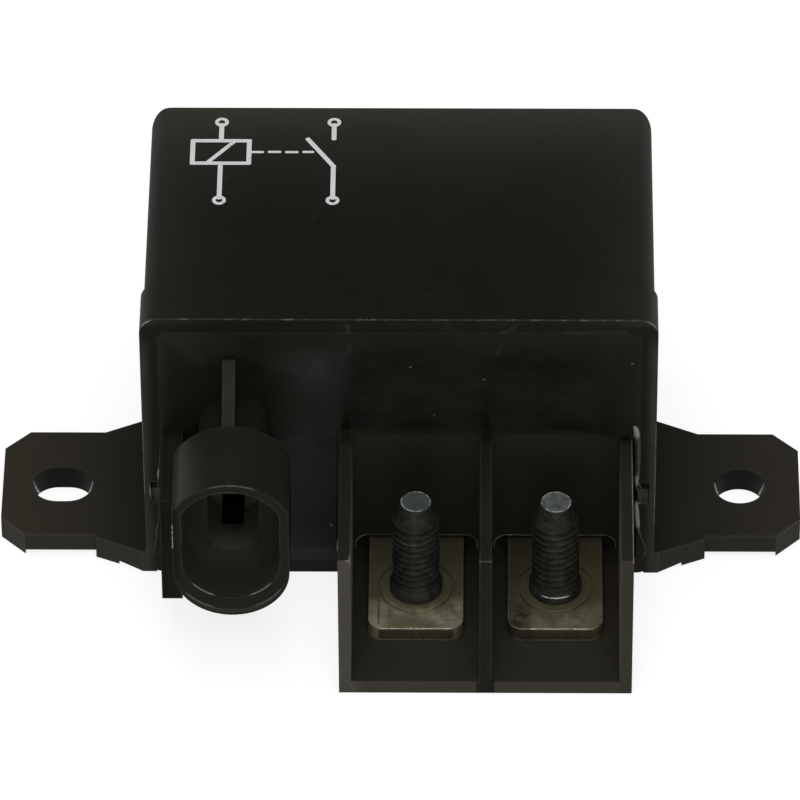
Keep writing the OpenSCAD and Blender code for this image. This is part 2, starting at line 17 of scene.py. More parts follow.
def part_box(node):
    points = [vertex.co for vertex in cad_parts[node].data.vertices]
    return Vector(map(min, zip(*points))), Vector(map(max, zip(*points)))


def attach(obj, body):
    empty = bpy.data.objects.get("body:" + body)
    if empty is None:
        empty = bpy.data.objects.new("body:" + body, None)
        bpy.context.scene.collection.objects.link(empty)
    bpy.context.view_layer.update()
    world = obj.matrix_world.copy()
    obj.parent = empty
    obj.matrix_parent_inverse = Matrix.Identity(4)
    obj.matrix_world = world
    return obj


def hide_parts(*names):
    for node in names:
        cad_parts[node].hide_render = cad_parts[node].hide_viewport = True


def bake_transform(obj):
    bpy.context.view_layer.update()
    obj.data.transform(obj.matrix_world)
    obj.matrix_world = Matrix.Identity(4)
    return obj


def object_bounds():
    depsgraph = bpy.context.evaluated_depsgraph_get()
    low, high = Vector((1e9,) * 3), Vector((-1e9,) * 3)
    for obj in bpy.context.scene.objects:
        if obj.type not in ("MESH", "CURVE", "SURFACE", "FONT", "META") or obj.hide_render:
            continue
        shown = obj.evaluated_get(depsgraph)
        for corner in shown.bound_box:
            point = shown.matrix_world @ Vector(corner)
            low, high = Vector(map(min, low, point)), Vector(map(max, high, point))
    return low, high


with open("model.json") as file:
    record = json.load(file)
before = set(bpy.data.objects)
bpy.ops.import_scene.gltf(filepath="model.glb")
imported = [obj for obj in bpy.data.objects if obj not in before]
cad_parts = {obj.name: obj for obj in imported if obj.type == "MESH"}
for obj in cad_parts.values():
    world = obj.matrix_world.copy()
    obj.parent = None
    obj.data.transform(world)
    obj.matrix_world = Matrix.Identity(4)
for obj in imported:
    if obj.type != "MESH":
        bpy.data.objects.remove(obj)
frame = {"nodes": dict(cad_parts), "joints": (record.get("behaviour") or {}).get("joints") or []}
nodes = frame["nodes"]
cad_low, cad_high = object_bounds()
print("solids:", len(nodes), "box:", [round(v, 4) for v in (*cad_low, *cad_high)])

MM = 0.001

# %% [markdown]
# ## The camera
#
# The photograph was taken with a long lens from about 42 degrees above the terminal side.
# The camera is described the way a photographer would: which way it looks, how far it
# stands, and how far the middle of the picture lies beside the point it looks at.

# %% Place the camera
LOOK_DOWN = math.radians(41.755)
LOOK_ASIDE = math.radians(-0.781)
LEAN = math.radians(0.351)
STAND_OFF = 1086.247 * MM
SHIFT_RIGHT = -0.115 * MM
SHIFT_UP = -22.011 * MM
FOCAL_PIXELS = 8484.339
PICTURE_PIXELS = 800
SENSOR = 36.0
RIM_FACE = -12.65


def unturned(v):
    """A direction in the camera's turned frame, put back into the relay's frame."""
    c, s = math.cos(LOOK_ASIDE), math.sin(LOOK_ASIDE)
    return Vector((c * v[0] + s * v[1], -s * v[0] + c * v[1], v[2]))


forward = unturned((0, math.cos(LOOK_DOWN), -math.sin(LOOK_DOWN)))
level_up = unturned((0, math.sin(LOOK_DOWN), math.cos(LOOK_DOWN)))
level_right = unturned((1, 0, 0))
right = math.cos(LEAN) * level_right - math.sin(LEAN) * level_up
up = math.sin(LEAN) * level_right + math.cos(LEAN) * level_up
stand = (
    Vector((0, RIM_FACE * MM, 0))
    - SHIFT_RIGHT * level_right
    - SHIFT_UP * level_up
    - STAND_OFF * forward
)

camera_data = bpy.data.cameras.new("camera")
camera = bpy.data.objects.new("camera", camera_data)
bpy.context.scene.collection.objects.link(camera)
camera_data.sensor_width = SENSOR
camera_data.lens = FOCAL_PIXELS / PICTURE_PIXELS * SENSOR
camera_data.clip_start = 0.05
camera_data.clip_end = 50.0
facing = Matrix((right, up, -forward)).transposed().to_4x4()
facing.translation = stand
camera.matrix_world = facing
bpy.context.scene.camera = camera
bpy.context.scene.view_settings.view_transform = "Standard"
print("camera at", [round(v, 3) for v in stand], "lens", round(camera_data.lens, 1), "mm")

# %% [markdown]
# ## Writing shaders as sums
#
# A material is a graph of small nodes. Wiring them by hand hides the idea, so one small
# class wraps a socket and lets a mask be written as a sum, such as `1 - wear * 0.5`. Every
# other node comes from one method, which takes the node's type, its settings and the
# values or links of its sockets.


# %% A socket that can be added and multiplied
def sign(operation, swapped=False):
    """The method behind a sign such as + or *: a Math node of its operands."""

    def apply(self, other=None):
        first, second = (other, self) if swapped else (self, other)
        values = {0: first} if second is None else {0: first, 1: second}
        return self.bench.node("Math", {"operation": operation}, values)

    return apply


class Signal:
    """One output of a shader node."""

    def __init__(self, bench, socket):
        self.bench = bench
        self.socket = socket

    __add__, __radd__ = sign("ADD"), sign("ADD", True)
    __sub__, __rsub__ = sign("SUBTRACT"), sign("SUBTRACT", True)
    __mul__, __rmul__ = sign("MULTIPLY"), sign("MULTIPLY", True)
    __truediv__, __pow__ = sign("DIVIDE"), sign("POWER")
    __abs__, sine = sign("ABSOLUTE"), sign("SINE")
    smaller, larger = sign("MINIMUM"), sign("MAXIMUM")

    def hypot(self, other):
        """The distance of a point whose two offsets are these."""
        return (self * self + other * other) ** 0.5

    def ramp(self, start, end):
        """0 below start, 1 above end, smooth between them; start may be the larger."""
        settings = {"interpolation_type": "SMOOTHSTEP", "clamp": True}
        ends = {1: min(start, end), 2: max(start, end)}
        rising = self.bench.node("MapRange", settings, {0: self, **ends})
        return rising if start <= end else 1 - rising


# %% [markdown]
# A bench holds one material while it is built. It gives the place on the object in
# millimetres, because a maker thinks of a 0.3 mm grain and not of a scale of 3333, and the
# textures that several finishes share.


# %% Nodes from one method
class Wiring:
    """A node tree and the method that fills it."""

    def __init__(self, tree):
        self.tree = tree
        self.tree.nodes.clear()

    def node(self, kind, settings, sockets, output=0):
        """Makes a node, sets it, then fills its sockets with values or links.

        kind is the node's type without the words ShaderNode in front.
        """
        made = self.tree.nodes.new("ShaderNode" + kind)
        for key, value in settings.items():
            setattr(made, key, value)
        for key, value in sockets.items():
            if isinstance(value, Signal):
                self.tree.links.new(value.socket, made.inputs[key])
            elif isinstance(value, tuple) and made.inputs[key].type == "RGBA":
                made.inputs[key].default_value = (*value, 1.0)
            else:
                made.inputs[key].default_value = value
        return made if output is None else Signal(self, made.outputs[output])

    def axes(self, vector):
        """The x, y and z of a vector."""
        parts = self.node("SeparateXYZ", {}, {0: vector}, None)
        return [Signal(self, parts.outputs[i]) for i in range(3)]


# %% The bench on which a finish is built
class Bench(Wiring):
    """Builds one material."""

    def __init__(self, name):
        self.material = bpy.data.materials.new(name)
        self.material.use_nodes = True
        super().__init__(self.material.node_tree)
        place = self.node("TexCoord", {}, {}, "Object")
        self.place = self.vector("MULTIPLY", place, (1 / MM, 1 / MM, 1 / MM))
        self.x, self.y, self.z = self.axes(self.place)

    def vector(self, operation, first, second, output=0):
        """A Vector Math node of this operation."""
        return self.node("VectorMath", {"operation": operation}, {0: first, 1: second}, output)

    def noise(self, size, detail=2.0, place=None, roughness=0.5):
        """Smooth noise around 0.5, with lumps about size millimetres wide."""
        sockets = {"Vector": place or self.place, "Scale": 1.0 / size, "Detail": detail}
        return self.node("TexNoise", {}, {**sockets, "Roughness": roughness})

    def cells(self, size):
        """Distance to the nearest point of a scatter, size millimetres apart."""
        sockets = {"Vector": self.place, "Scale": 1.0 / size}
        return self.node("TexVoronoi", {}, sockets, "Distance")

    def stretched(self, sx, sy, sz):
        """The place with each direction squeezed, for marks longer one way."""
        return self.vector("MULTIPLY", self.place, (sx, sy, sz))

    def tint(self, mask, low, high):
        """low where the mask is 0 and high where it is 1."""
        settings = {"data_type": "RGBA", "clamp_factor": True}
        return self.node("Mix", settings, {0: mask, 6: low, 7: high}, 2)

    def painted(self, colour, *coats):
        """The colour under coats of (mask, paint), each over the one before it."""
        for mask, paint in coats:
            colour = self.tint(mask, colour, paint)
        return colour

    def within(self, value, low, high, soft):
        """1 between low and high, fading over soft on both sides."""
        return value.ramp(low - soft, low + soft) * value.ramp(high + soft, high - soft)

    def around(self, points, reach):
        """1 at any of the points, 0 from reach millimetres away."""
        away = [self.vector("DISTANCE", self.place, point, "Value") for point in points]
        return reduce(Signal.smaller, away).ramp(reach, 0.3 * reach)

    def spots(self, y, points, reach):
        """The same for points (x, z) in the plane of this y."""
        return self.around([(x, y, z) for x, z in points], reach)

    def along(self, start, end, reach):
        """1 on the line from start to end, both (x, z), 0 from reach millimetres away."""
        run_x, run_z = end[0] - start[0], end[1] - start[1]
        across, rise = self.x - start[0], self.z - start[1]
        share = (across * run_x + rise * run_z) / (run_x * run_x + run_z * run_z)
        share = share.larger(0.0).smaller(1.0)
        off = (across - share * run_x).hypot(rise - share * run_z)
        return off.ramp(reach, 0.2 * reach)

    def relief(self, height, depth, under=None):
        """A bump whose full height is depth millimetres."""
        sockets = {"Height": height, "Distance": depth * MM, "Strength": 1.0}
        if under is not None:
            sockets["Normal"] = under
        return self.node("Bump", {}, sockets)

    def soft_edge(self, radius):
        """The normal of an edge rounded by radius millimetres."""
        return self.node("Bevel", {"samples": 2}, {"Radius": radius * MM})

    def edge_wear_and_sheen(self, reach):
        """1 on an outside edge, 0 from reach millimetres away from it."""
        settings = {"samples": 3, "inside": True, "only_local": True}
        sockets = {"Distance": reach * MM}
        open_share = self.node("AmbientOcclusion", settings, sockets, "AO")
        return open_share.ramp(0.92, 0.60)

    def scratches(self, width, length, angle, rarity):
        """Thin marks of that width and length; angle is in degrees round Z."""
        leaning = (0.3, 0.2, math.radians(angle))
        turned = self.node("Mapping", {}, {"Vector": self.place, "Rotation": leaning})
        squeezed = self.vector("MULTIPLY", turned, (1 / width, 1 / length, 1 / length))
        return self.noise(1.0, 1.0, squeezed).ramp(rarity, rarity + 0.05)

    def surface(self, shader):
        """Ends the material with this shader."""
        self.node("OutputMaterial", {}, {"Surface": shader}, None)
        return self.material

    def finish(self, **sockets):
        """Fills the shader's sockets and ends the material."""
        named = {key.replace("_", " "): value for key, value in sockets.items()}
        return self.surface(self.node("BsdfPrincipled", {}, named))


print("bench ready")

# %% [markdown]
# ## The studio
#
# A black object is lit mostly by what it mirrors, so the room is what matters: white walls, a
# darker ceiling that leaves the top of the box dark, and a floor of pale card. To the camera,
# and in reflections, the card is as white as the page of a catalogue, and it keeps only a
# soft shadow. A large lamp high in front reaches into the bays, and a small one overhead
# draws the thin lines along the upper edges.


# %% The room
def seen(wiring):
    """1 for what the camera sees directly, in a reflection or through glass."""
    path = wiring.node("LightPath", {}, {}, None)
    camera_ray, mirrored, through = (
        Signal(wiring, path.outputs[name])
        for name in ("Is Camera Ray", "Is Glossy Ray", "Is Transmission Ray")
    )
    return (camera_ray + mirrored + through).smaller(1.0)


world = bpy.data.worlds.new("studio")
world.use_nodes = True
bpy.context.scene.world = world
air = Wiring(world.node_tree)
direction = air.node("TexCoord", {}, {}, "Generated")
height = air.axes(direction)[2]
dark_ceiling = height.ramp(0.16, 0.52)
strength = 1.0 - 0.80 * dark_ceiling
room = air.node("Background", {}, {"Color": (1.0, 1.0, 1.0), "Strength": strength})
air.node("OutputWorld", {}, {"Surface": room}, None)

card = Bench("floor_card")
lit = card.node("BsdfDiffuse", {}, {"Color": (0.8, 0.8, 0.79)})
shade = card.node("BsdfDiffuse", {}, {"Color": (0.34, 0.34, 0.34)})
glow = card.node("Emission", {}, {"Color": (1.0, 1.0, 1.0), "Strength": 0.82})
shown = card.node("AddShader", {}, {0: shade, 1: glow})
card.surface(card.node("MixShader", {}, {0: seen(card), 1: lit, 2: shown}))

FLOOR_RADIUS = 3.0
FLOOR_GAP = 0.02 * MM
sheet = bmesh.new()
bmesh.ops.create_circle(sheet, cap_ends=True, segments=96, radius=FLOOR_RADIUS)
bmesh.ops.translate(sheet, verts=sheet.verts, vec=(0, 0, -FLOOR_GAP))
floor_mesh = bpy.data.meshes.new("floor")
sheet.to_mesh(floor_mesh)
sheet.free()
floor_mesh.materials.append(card.material)
floor = bpy.data.objects.new("floor", floor_mesh)
bpy.context.scene.collection.objects.link(floor)
print("floor", round(floor.dimensions.x, 1), "m across")


# %% Soft lamps
LAMP_AIM = Vector((0, 0, 0.02))


def softbox(name, place, size, watts):
    """A square lamp that faces the middle of the relay."""
    lamp = bpy.data.lights.new(name, "AREA")
    lamp.shape, lamp.size, lamp.energy = "SQUARE", size, watts
    holder = bpy.data.objects.new(name, lamp)
    bpy.context.scene.collection.objects.link(holder)
    holder.location = place
    holder.rotation_euler = (LAMP_AIM - Vector(place)).to_track_quat("-Z", "Y").to_euler()


softbox("high_front", (0.04, -0.62, 0.90), 0.60, 3.2)
softbox("overhead", (-0.03, 0.04, 0.85), 0.34, 1.4)

# %% [markdown]
# ## Black mouldings
#
# The box and the terminal block are glass-filled polyester, moulded black. Such a plastic is
# never one tone: the spark-eroded mould leaves a fine grain, the melt leaves faint clouds and
# drawn-out flow marks, and handling leaves a few scuffs. Outside edges are made pale, partly as
# wear and partly as a painted highlight. Their mask comes from looking inward: close to an
# outside edge, a ray sent into the solid soon leaves it again, and that share is the mask. Other
# masks paint light and shade into the colour: highlights on edges and in holes, lit faces in the
# bays, the plug and the pockets, and shade in the holes and on a few faces. Places in a mask are
# millimetres in the relay's frame.


# %% The finish of a black moulding
def black_moulding(name, dark, pale, pale_mark_and_highlight_tone, lift, glints, dull=None, marks=None):
    """Clouds, grain, flow marks, scuffs, pale edges and painted highlights on satin black plastic.

    lift(b) gives masks with the tone that they pull the plastic to, some of them painted light
    and shade; glints(b) is where an edge gets a bright painted highlight, and where the pale
    edge of wear and painted highlight is laid at all; dull(b) adds roughness; marks(b) is what
    the mould leaves raised or sunk.
    """
    b = Bench(name)
    clouds = b.noise(11.0, 3.0, roughness=0.6)
    flow = b.noise(2.6, 3.0, b.stretched(0.35, 0.35, 1.6), roughness=0.6)
    grain = b.noise(0.17, 1.0)
    tone = clouds * 0.5 + flow * 0.3 + grain * 0.2
    colour = b.tint(tone.ramp(0.34, 0.66), dark, pale)
    scuffs = b.scratches(0.16, 18.0, 33.0, 0.69) + b.scratches(0.13, 11.0, -52.0, 0.70)
    patches = b.noise(8.0, 2.0).ramp(0.48, 0.66)
    colour = b.tint(scuffs * patches * 0.10, colour, pale_mark_and_highlight_tone)
    for mask, paint in lift(b):
        colour = b.tint(mask * (0.85 + 0.3 * clouds), colour, paint)
    specks = b.cells(2.9).ramp(0.07, 0.03) * b.noise(13.0).ramp(0.50, 0.58)
    colour = b.tint(specks * 0.7, colour, pale_mark_and_highlight_tone)
    chipped = b.noise(0.8, 3.0).ramp(0.25, 0.55)
    # pale outside edges, partly wear and partly painted highlight; bright adds painted highlights
    # where glints(b) puts them
    edge = b.edge_wear_and_sheen(0.20)
    bright, worn = glints(b)
    colour = b.tint(edge * chipped * worn * 0.45, colour, pale_mark_and_highlight_tone)
    colour = b.tint(edge * bright, colour, (0.42, 0.40, 0.34))
    roughness = 0.46 + 0.12 * clouds + 0.10 * (grain - 0.5) + 0.10 * scuffs * patches - 0.08 * edge
    if dull:
        roughness = roughness + dull(b)
    height = grain * 0.75 + b.noise(0.45, 2.0) * 0.5
    normal = b.relief(height, 0.010, b.soft_edge(0.16))
    if marks:
        normal = b.relief(marks(b), 0.14, normal)
    return b.finish(Base_Color=colour, Roughness=roughness, Specular_IOR_Level=0.09, Normal=normal)


# %% Where the box is paler, and where its edges shine
HOLE_X = 43.6
SLOT_REACH = 0.675
STREAKS = (
    ((-6.4, 41.9), (-6.15, 37.4), 0.50, 0.75),
    ((6.05, 42.1), (8.7, 37.8), 0.80, 0.25),
    ((14.6, 41.9), (13.1, 40.7), 0.55, 0.55),
    ((13.1, 40.7), (12.4, 36.9), 0.60, 0.75),
    ((20.8, 40.8), (28.3, 41.1), 0.40, 0.60),
)
STREAK_TONE = (0.024, 0.022, 0.018)


def box_lift(b):
    """Paler back and sides of the top and upper sides of the rim; ears paler outwards, partly as
    dust and partly as painted shade near the box, and painted lit on their fronts; painted
    highlights along the rim's outer edges and in the ear holes, painted shade inside the holes,
    painted light in the rim's pockets; and resin streaks.
    """
    aside = abs(b.x)
    right = b.x.ramp(-20.0, 20.0)
    on_top = b.z.ramp(41.4, 42.3)
    back = ((b.y + 20.0).larger(0.0) / 46.0) ** 5.6
    on_ear = b.z.ramp(2.9, 3.4) * b.z.ramp(3.7, 3.55)
    outward = (0.26 + (aside - 29.5) * 0.027).smaller(0.88) * (1.0 - 0.16 * right)
    ear_front = aside.ramp(32.0, 32.3) * b.z.ramp(3.46, 3.40) * b.y.ramp(-5.0, -8.0)
    rim_face = b.y.ramp(-12.5, -12.6)
    rim_side = aside.ramp(30.9, 32.2) * rim_face * b.z.ramp(41.5, 36.0)
    outer_line = aside.ramp(32.28, 32.36) * rim_face * b.noise(1.1, 3.0).ramp(0.30, 0.50)
    outer_line = outer_line * b.within(b.z - 4.6 * (1.0 - right), 8.4, 25.2, 0.6)
    off_x = (abs(aside - HOLE_X) - SLOT_REACH * (1.0 - right)).larger(0.0)
    in_hole = off_x.hypot(b.y).ramp(3.34, 3.29) * b.z.ramp(3.47, 3.42)
    crescent = b.within(b.z + 2.47 * b.y, 4.75, 5.40, 0.12) * abs(aside - HOLE_X).ramp(2.5, 2.7)
    pocket = b.within(aside, 30.25, 31.62, 0.04) * b.within(b.z, 10.0, 13.75, 0.04)
    pocket = pocket * b.y.ramp(-12.62, -12.5)
    pale_tone = (0.044, 0.040, 0.031)
    streaks = [(b.along(*run[:3]) * rim_face * run[3], STREAK_TONE) for run in STREAKS]
    return streaks + [
        # paler towards the back and the sides of the top, and on the upper sides of the rim's face
        (on_top * back * 0.66, pale_tone),
        (on_top * (aside / 32.0) ** 6 * 0.42, pale_tone),
        # ears paler outwards: partly dust, partly painted shade near the box
        (on_ear * outward, (0.042, 0.037, 0.025)),
        # painted light on the front faces of the ears
        (ear_front * (0.40 - 0.10 * right), (0.055, 0.050, 0.037)),
        (rim_side * 0.80, pale_tone),
        # painted highlight lines along the rim's outer edges
        (outer_line * 0.85, (0.190, 0.180, 0.150)),
        # painted shade inside the ear holes
        (in_hole * 0.8, (0.0022, 0.0019, 0.0013)),
        # painted highlight crescents on the walls of the ear holes
        (in_hole * crescent, (0.78, 0.77, 0.73)),
        # painted light in the rim's pockets
        (pocket * 0.9, (0.105, 0.100, 0.085)),
    ]


def box_glints(b):
    """Painted highlights: the front edge of the rim in short bright runs and its top corners; the
    step behind the band gets no pale edge.
    """
    front = b.within(b.y, -12.8, -12.45, 0.08) * b.z.ramp(41.4, 42.0)
    runs = b.noise(1.6, 4.0, roughness=0.7).ramp(0.50, 0.62) * 0.35
    corners = b.spots(RIM_FACE, ((-31.6, 42.2), (31.7, 42.1)), 1.3) * 0.5
    step = b.within(b.y, -6.3, -5.4, 0.1)
    return front * (0.06 + runs) + corners, 1.0 - step


def mould_marks(b):
    """The stub of the gate on the back in its ring, and ejector discs underneath."""
    off_gate = b.x.hypot(b.z - 21.0)
    at_gate = (off_gate.ramp(0.9, 0.6) - b.within(off_gate, 2.2, 2.6, 0.08)) * b.y.ramp(28.6, 28.8)
    off_pin = (abs(b.x) - 23.0).hypot(abs(b.y - 9.0) - 13.0)
    return at_gate - off_pin.ramp(2.3, 2.2) * b.z.ramp(0.3, 0.1) * 0.6


shell_finish = black_moulding(
    "black_shell",
    (0.0055, 0.0042, 0.0023),
    (0.0083, 0.0067, 0.0042),
    (0.055, 0.051, 0.042),
    box_lift,
    box_glints,
    marks=mould_marks,
)

# %% Where the block is paler, and where its edges shine
PLUG_X = -20.9
PLUG_FACE = -30.85
# Points of painted highlight along the inner and outer edges of the plug's mouth, (x, z) on its face.
INNER_LIP = (
    (-25.4, 14.2), (-24.6, 13.6), (-23.8, 13.1), (-17.9, 13.1), (-17.1, 13.7), (-16.5, 14.4),
)
OUTER_LIP = (
    (-26.0, 12.6), (-25.0, 11.7), (-24.0, 11.1), (-17.2, 11.3), (-16.2, 12.2), (-15.2, 13.3),
)


def block_lift(b):
    """Painted light in the bays, on the inner sides, back ends and front ends of the walls,
    and in the bore and neck of the plug; painted shade on the mouth's face and the middle
    wall's front; painted highlights on the last wall's edge and the plug's flank; the tops of
    the walls, the rib and the outside of the plug a little paler.
    """
    bays = b.within(b.x, -6.1, 28.0, 0.1) * b.z.ramp(22.5, 21.5)
    bay_ends = bays * b.y.ramp(-13.4, -12.6)
    bays = bays * b.y.ramp(-12.6, -13.4)
    normal = b.node("TexCoord", {}, {}, "Normal")
    sideways = abs(b.axes(normal)[0]).ramp(0.6, 0.9)
    ahead = (b.y + 34.8).ramp(0.0, -0.1)
    middle = b.within(b.x, 9.8, 12.1, 0.1)
    wall_tops = b.x.ramp(-7.8, -7.4) * b.z.ramp(22.4, 22.55) * b.y.ramp(-12.8, -13.4)
    line = b.within(b.x, 29.28, 29.6, 0.03) * b.z.ramp(22.42, 22.52)
    line = line * (0.3 + 0.7 * b.y.ramp(-14.0, -33.0))
    above = (b.z - 23.4).larger(0.0) + (16.2 - b.z).larger(0.0)
    bore = (b.x - PLUG_X).hypot(above)
    inside = bore.ramp(7.0, 6.8) * b.within(b.y, -30.7, -20.5, 0.1)
    deeper = b.y.ramp(-27.0, -21.4) * b.y.ramp(-21.0, -21.2)
    off_neck = (b.z - 25.05).larger(0.0) + (13.65 - b.z).larger(0.0)
    neck_bore = (b.x - PLUG_X).hypot(off_neck).ramp(3.45, 3.35)
    neck_bore = neck_bore * b.within(b.y, -21.0, -12.0, 0.05)
    plug = b.within(b.x, -29.2, -12.4, 0.2)
    mouth = (b.y - PLUG_FACE).ramp(0.2, 0.1) * plug
    outside = plug * bore.ramp(7.1, 7.3) * b.within(b.y, -30.6, -13.0, 0.1)
    rib = b.within(b.x, -22.15, -20.45, 0.04) * b.y.ramp(-12.7, -12.9) * b.z.ramp(31.0, 32.0)
    sliver = b.spots(PLUG_FACE, [(-28.26, z) for z in (24.4, 23.5, 22.6, 21.8, 21.2)], 0.55)
    return [
        # painted light on the floors and inner sides of the bays, and at their back ends
        (bays * 0.46, (0.050, 0.046, 0.034)),
        (bays * sideways * 0.85, (0.185, 0.174, 0.132)),
        (bay_ends * 0.50, (0.035, 0.034, 0.025)),
        (wall_tops * (0.22 - 0.11 * middle), (0.050, 0.047, 0.035)),
        # painted light on the front ends of the walls, most on the left one; painted shade on the
        # middle one
        (ahead * (1.0 - middle) * 0.52, (0.060, 0.053, 0.040)),
        (ahead * b.x.ramp(-4.0, -6.0) * 0.58, (0.092, 0.086, 0.072)),
        (ahead * middle * 0.98, (0.0052, 0.0047, 0.0032)),
        # painted highlight along the outer top edge of the last wall
        (line, (0.200, 0.190, 0.160)),
        (outside * 0.09, (0.050, 0.045, 0.032)),
        (rib * 0.16, (0.050, 0.047, 0.035)),
        # painted light inside the bore and the neck of the plug
        (inside * 0.70, (0.044, 0.043, 0.030)),
        (inside * deeper * 0.65, (0.095, 0.093, 0.070)),
        (neck_bore * 0.95, (0.175, 0.168, 0.130)),
        # painted shade on the mouth's front face
        (mouth * 0.85, (0.0072, 0.0065, 0.0044)),
        # painted highlight on the plug's outer flank
        (sliver * b.x.ramp(-28.02, -28.12), (0.40, 0.39, 0.34)),
    ]


def block_glints(b):
    """Painted highlights: the last wall's outer edge, the arches, the lip of the plug, a spot on the
    left wall and the middle wall's front end.
    """
    last_wall = b.within(b.x, 29.15, 29.6, 0.1) * b.z.ramp(21.9, 22.3) * b.y.ramp(-11.5, -13.0)
    arches = b.within(b.y, -10.9, -10.3, 0.1) * b.within(b.z, 2.4, 5.0, 0.2)
    broken = 0.35 + 0.65 * b.noise(1.8, 3.0).ramp(0.42, 0.60)
    inner = b.spots(PLUG_FACE, INNER_LIP, 1.0)
    outer = b.spots(PLUG_FACE, OUTER_LIP, 1.1)
    crown = b.spots(PLUG_FACE, [(x, 31.2) for x in (-22.4, -20.6, -18.7)], 1.5)
    spot = b.around([(-5.95, -34.6, 22.6)], 1.0)
    middle_end = b.within(b.x, 9.9, 12.0, 0.1) * b.z.ramp(22.0, 22.4) * b.y.ramp(-34.2, -34.6)
    lip = inner * 0.65 + outer * 0.5 + crown * 0.3
    walls = (last_wall * 0.45 + arches * 1.1 + middle_end * 0.2) * broken
    return walls + lip + spot * 0.7, 1.0


def dull_flank(b):
    """The outer side of the plug was never polished."""
    low_side = b.x.ramp(-27.0, -28.2) * b.y.ramp(-12.8, -13.4) * b.z.ramp(31.0, 27.0)
    return low_side * 0.42


base_finish = black_moulding(
    "black_block",
    (0.0100, 0.0088, 0.0058),
    (0.0165, 0.0147, 0.0102),
    (0.075, 0.070, 0.057),
    block_lift,
    block_glints,
    dull=dull_flank,
)
print("mouldings:", shell_finish.name, base_finish.name)

# %% [markdown]
# ## Sealing resin
#
# The joint between box and block is filled with poured resin. It is glossy, a little greenish,
# and its surface sags and creeps instead of being flat, so it gets long shallow waves, pin
# holes and a dust of mould release rather than a grain.


# %% The finish of the resin
LEDGE = 3.65
# Spots of painted highlight on the beads, (x, z) in the plane at y = -12.9.
BEAD_HIGHLIGHT_SPOTS = (
    (29.7, 25.4), (30.0, 24.4), (30.1, 11.6), (30.2, 10.2), (30.25, 8.9), (30.03, 16.0),
    (-7.95, 4.4), (-7.90, 5.8), (-30.6, 16.9), (-31.7, 14.0),
)


def poured_resin():
    """Glossy resin with slow waves, painted light on its left part and a painted highlight along its
    level line.
    """
    b = Bench("poured_resin")
    waves = b.noise(3.4, 2.0)
    film = b.noise(7.0, 4.0, roughness=0.6).ramp(0.36, 0.66)
    colour = b.tint(film, (0.0054, 0.0045, 0.0027), (0.0088, 0.0076, 0.0049))
    streaks = [(b.along(*run[:3]) * run[3], STREAK_TONE) for run in STREAKS]
    smear = b.around([(-10.2, -11.5, 34.7), (-9.6, -11.6, 34.0)], 1.7)
    level = b.within(b.z, LEDGE - 0.06, LEDGE + 0.06, 0.06) * b.within(b.x, -14.4, -8.8, 0.3)
    level = level * b.noise(0.9, 3.0).ramp(0.20, 0.40)
    at_rim = abs(b.x).ramp(24.0, 29.0).larger(b.z.ramp(35.5, 40.0))
    at_rim = at_rim * (1.0 - 0.6 * b.x.ramp(-14.0, -26.0))
    bubbles = b.cells(1.7).ramp(0.16, 0.09) * b.noise(4.0).ramp(0.5, 0.6)
    specks = b.cells(3.1).ramp(0.075, 0.045) * b.noise(9.0).ramp(0.5, 0.56)
    colour = b.painted(
        colour,
        # painted light on the left part, which the plug and the rim shade
        (b.x.ramp(-5.0, -26.0) * 0.9, (0.0190, 0.0172, 0.0128)),
        *streaks,
        (smear * 0.5, (0.020, 0.0185, 0.014)),
        # painted highlight along the level line at the bottom
        (level * 0.9, (0.060, 0.057, 0.047)),
        (at_rim * 0.8, (0.0072, 0.0059, 0.0037)),
        (bubbles * 0.6, (0.02, 0.02, 0.015)),
        (specks, (0.10, 0.095, 0.08)),
    )
    normal = b.relief(waves + 0.15 * b.noise(0.5, 2.0) + 0.25 * bubbles, 0.06)
    return b.finish(
        Base_Color=colour,
        Roughness=0.34 + 0.14 * film + 0.1 * bubbles + 0.14 * at_rim,
        Specular_IOR_Level=0.12,
        Normal=normal,
    )


def drawn_resin():
    """Resin drawn out to a thin bead: greyer, with painted highlight spots."""
    b = Bench("drawn_resin")
    cloud = b.noise(1.6, 3.0, roughness=0.6)
    colour = b.tint(cloud.ramp(0.35, 0.65), (0.016, 0.0150, 0.012), (0.042, 0.040, 0.035))
    # painted highlights at these spots on the beads
    wet = b.spots(-12.9, BEAD_HIGHLIGHT_SPOTS, 1.3)
    colour = b.tint(wet * 0.75, colour, (0.30, 0.295, 0.275))
    return b.finish(
        Base_Color=colour,
        Roughness=0.42 + 0.12 * cloud,
        Specular_IOR_Level=0.22,
        Normal=b.relief(b.noise(0.4, 2.0), 0.02),
    )


resin_finish = poured_resin()
bead_finish = drawn_resin()
print("resin:", resin_finish.name, bead_finish.name)

# %% [markdown]
# ## Metals
#
# Metals take nearly all their look from roughness and from marks with a direction. The bars
# are stamped from brass strip that has tarnished to a grey olive: rolling lines along the
# strip, dark stains round the stud with painted shade of the stud among them, a stamped ring
# painted lighter against the shade of its groove, and a burr on the sheared edge painted bright
# as a highlight. The front of the left bar is painted brighter as a reflection, and the bars
# are painted darker behind their fronts as shade. The studs are dark plated steel, pale on the
# flat tip, with thread crests pale partly from wear and partly as painted highlight, and
# painted highlights on the tip's rim and the foot of the collar. Parts inside the case have
# cleaner finishes, their edges painted paler as wear and highlight.


# %% Tarnished brass
def off_axis(b, studs):
    """Distance in plan to the nearest of the upright axes at these (x, y)."""
    return reduce(Signal.smaller, [(b.x - x).hypot(b.y - y) for x, y in studs])


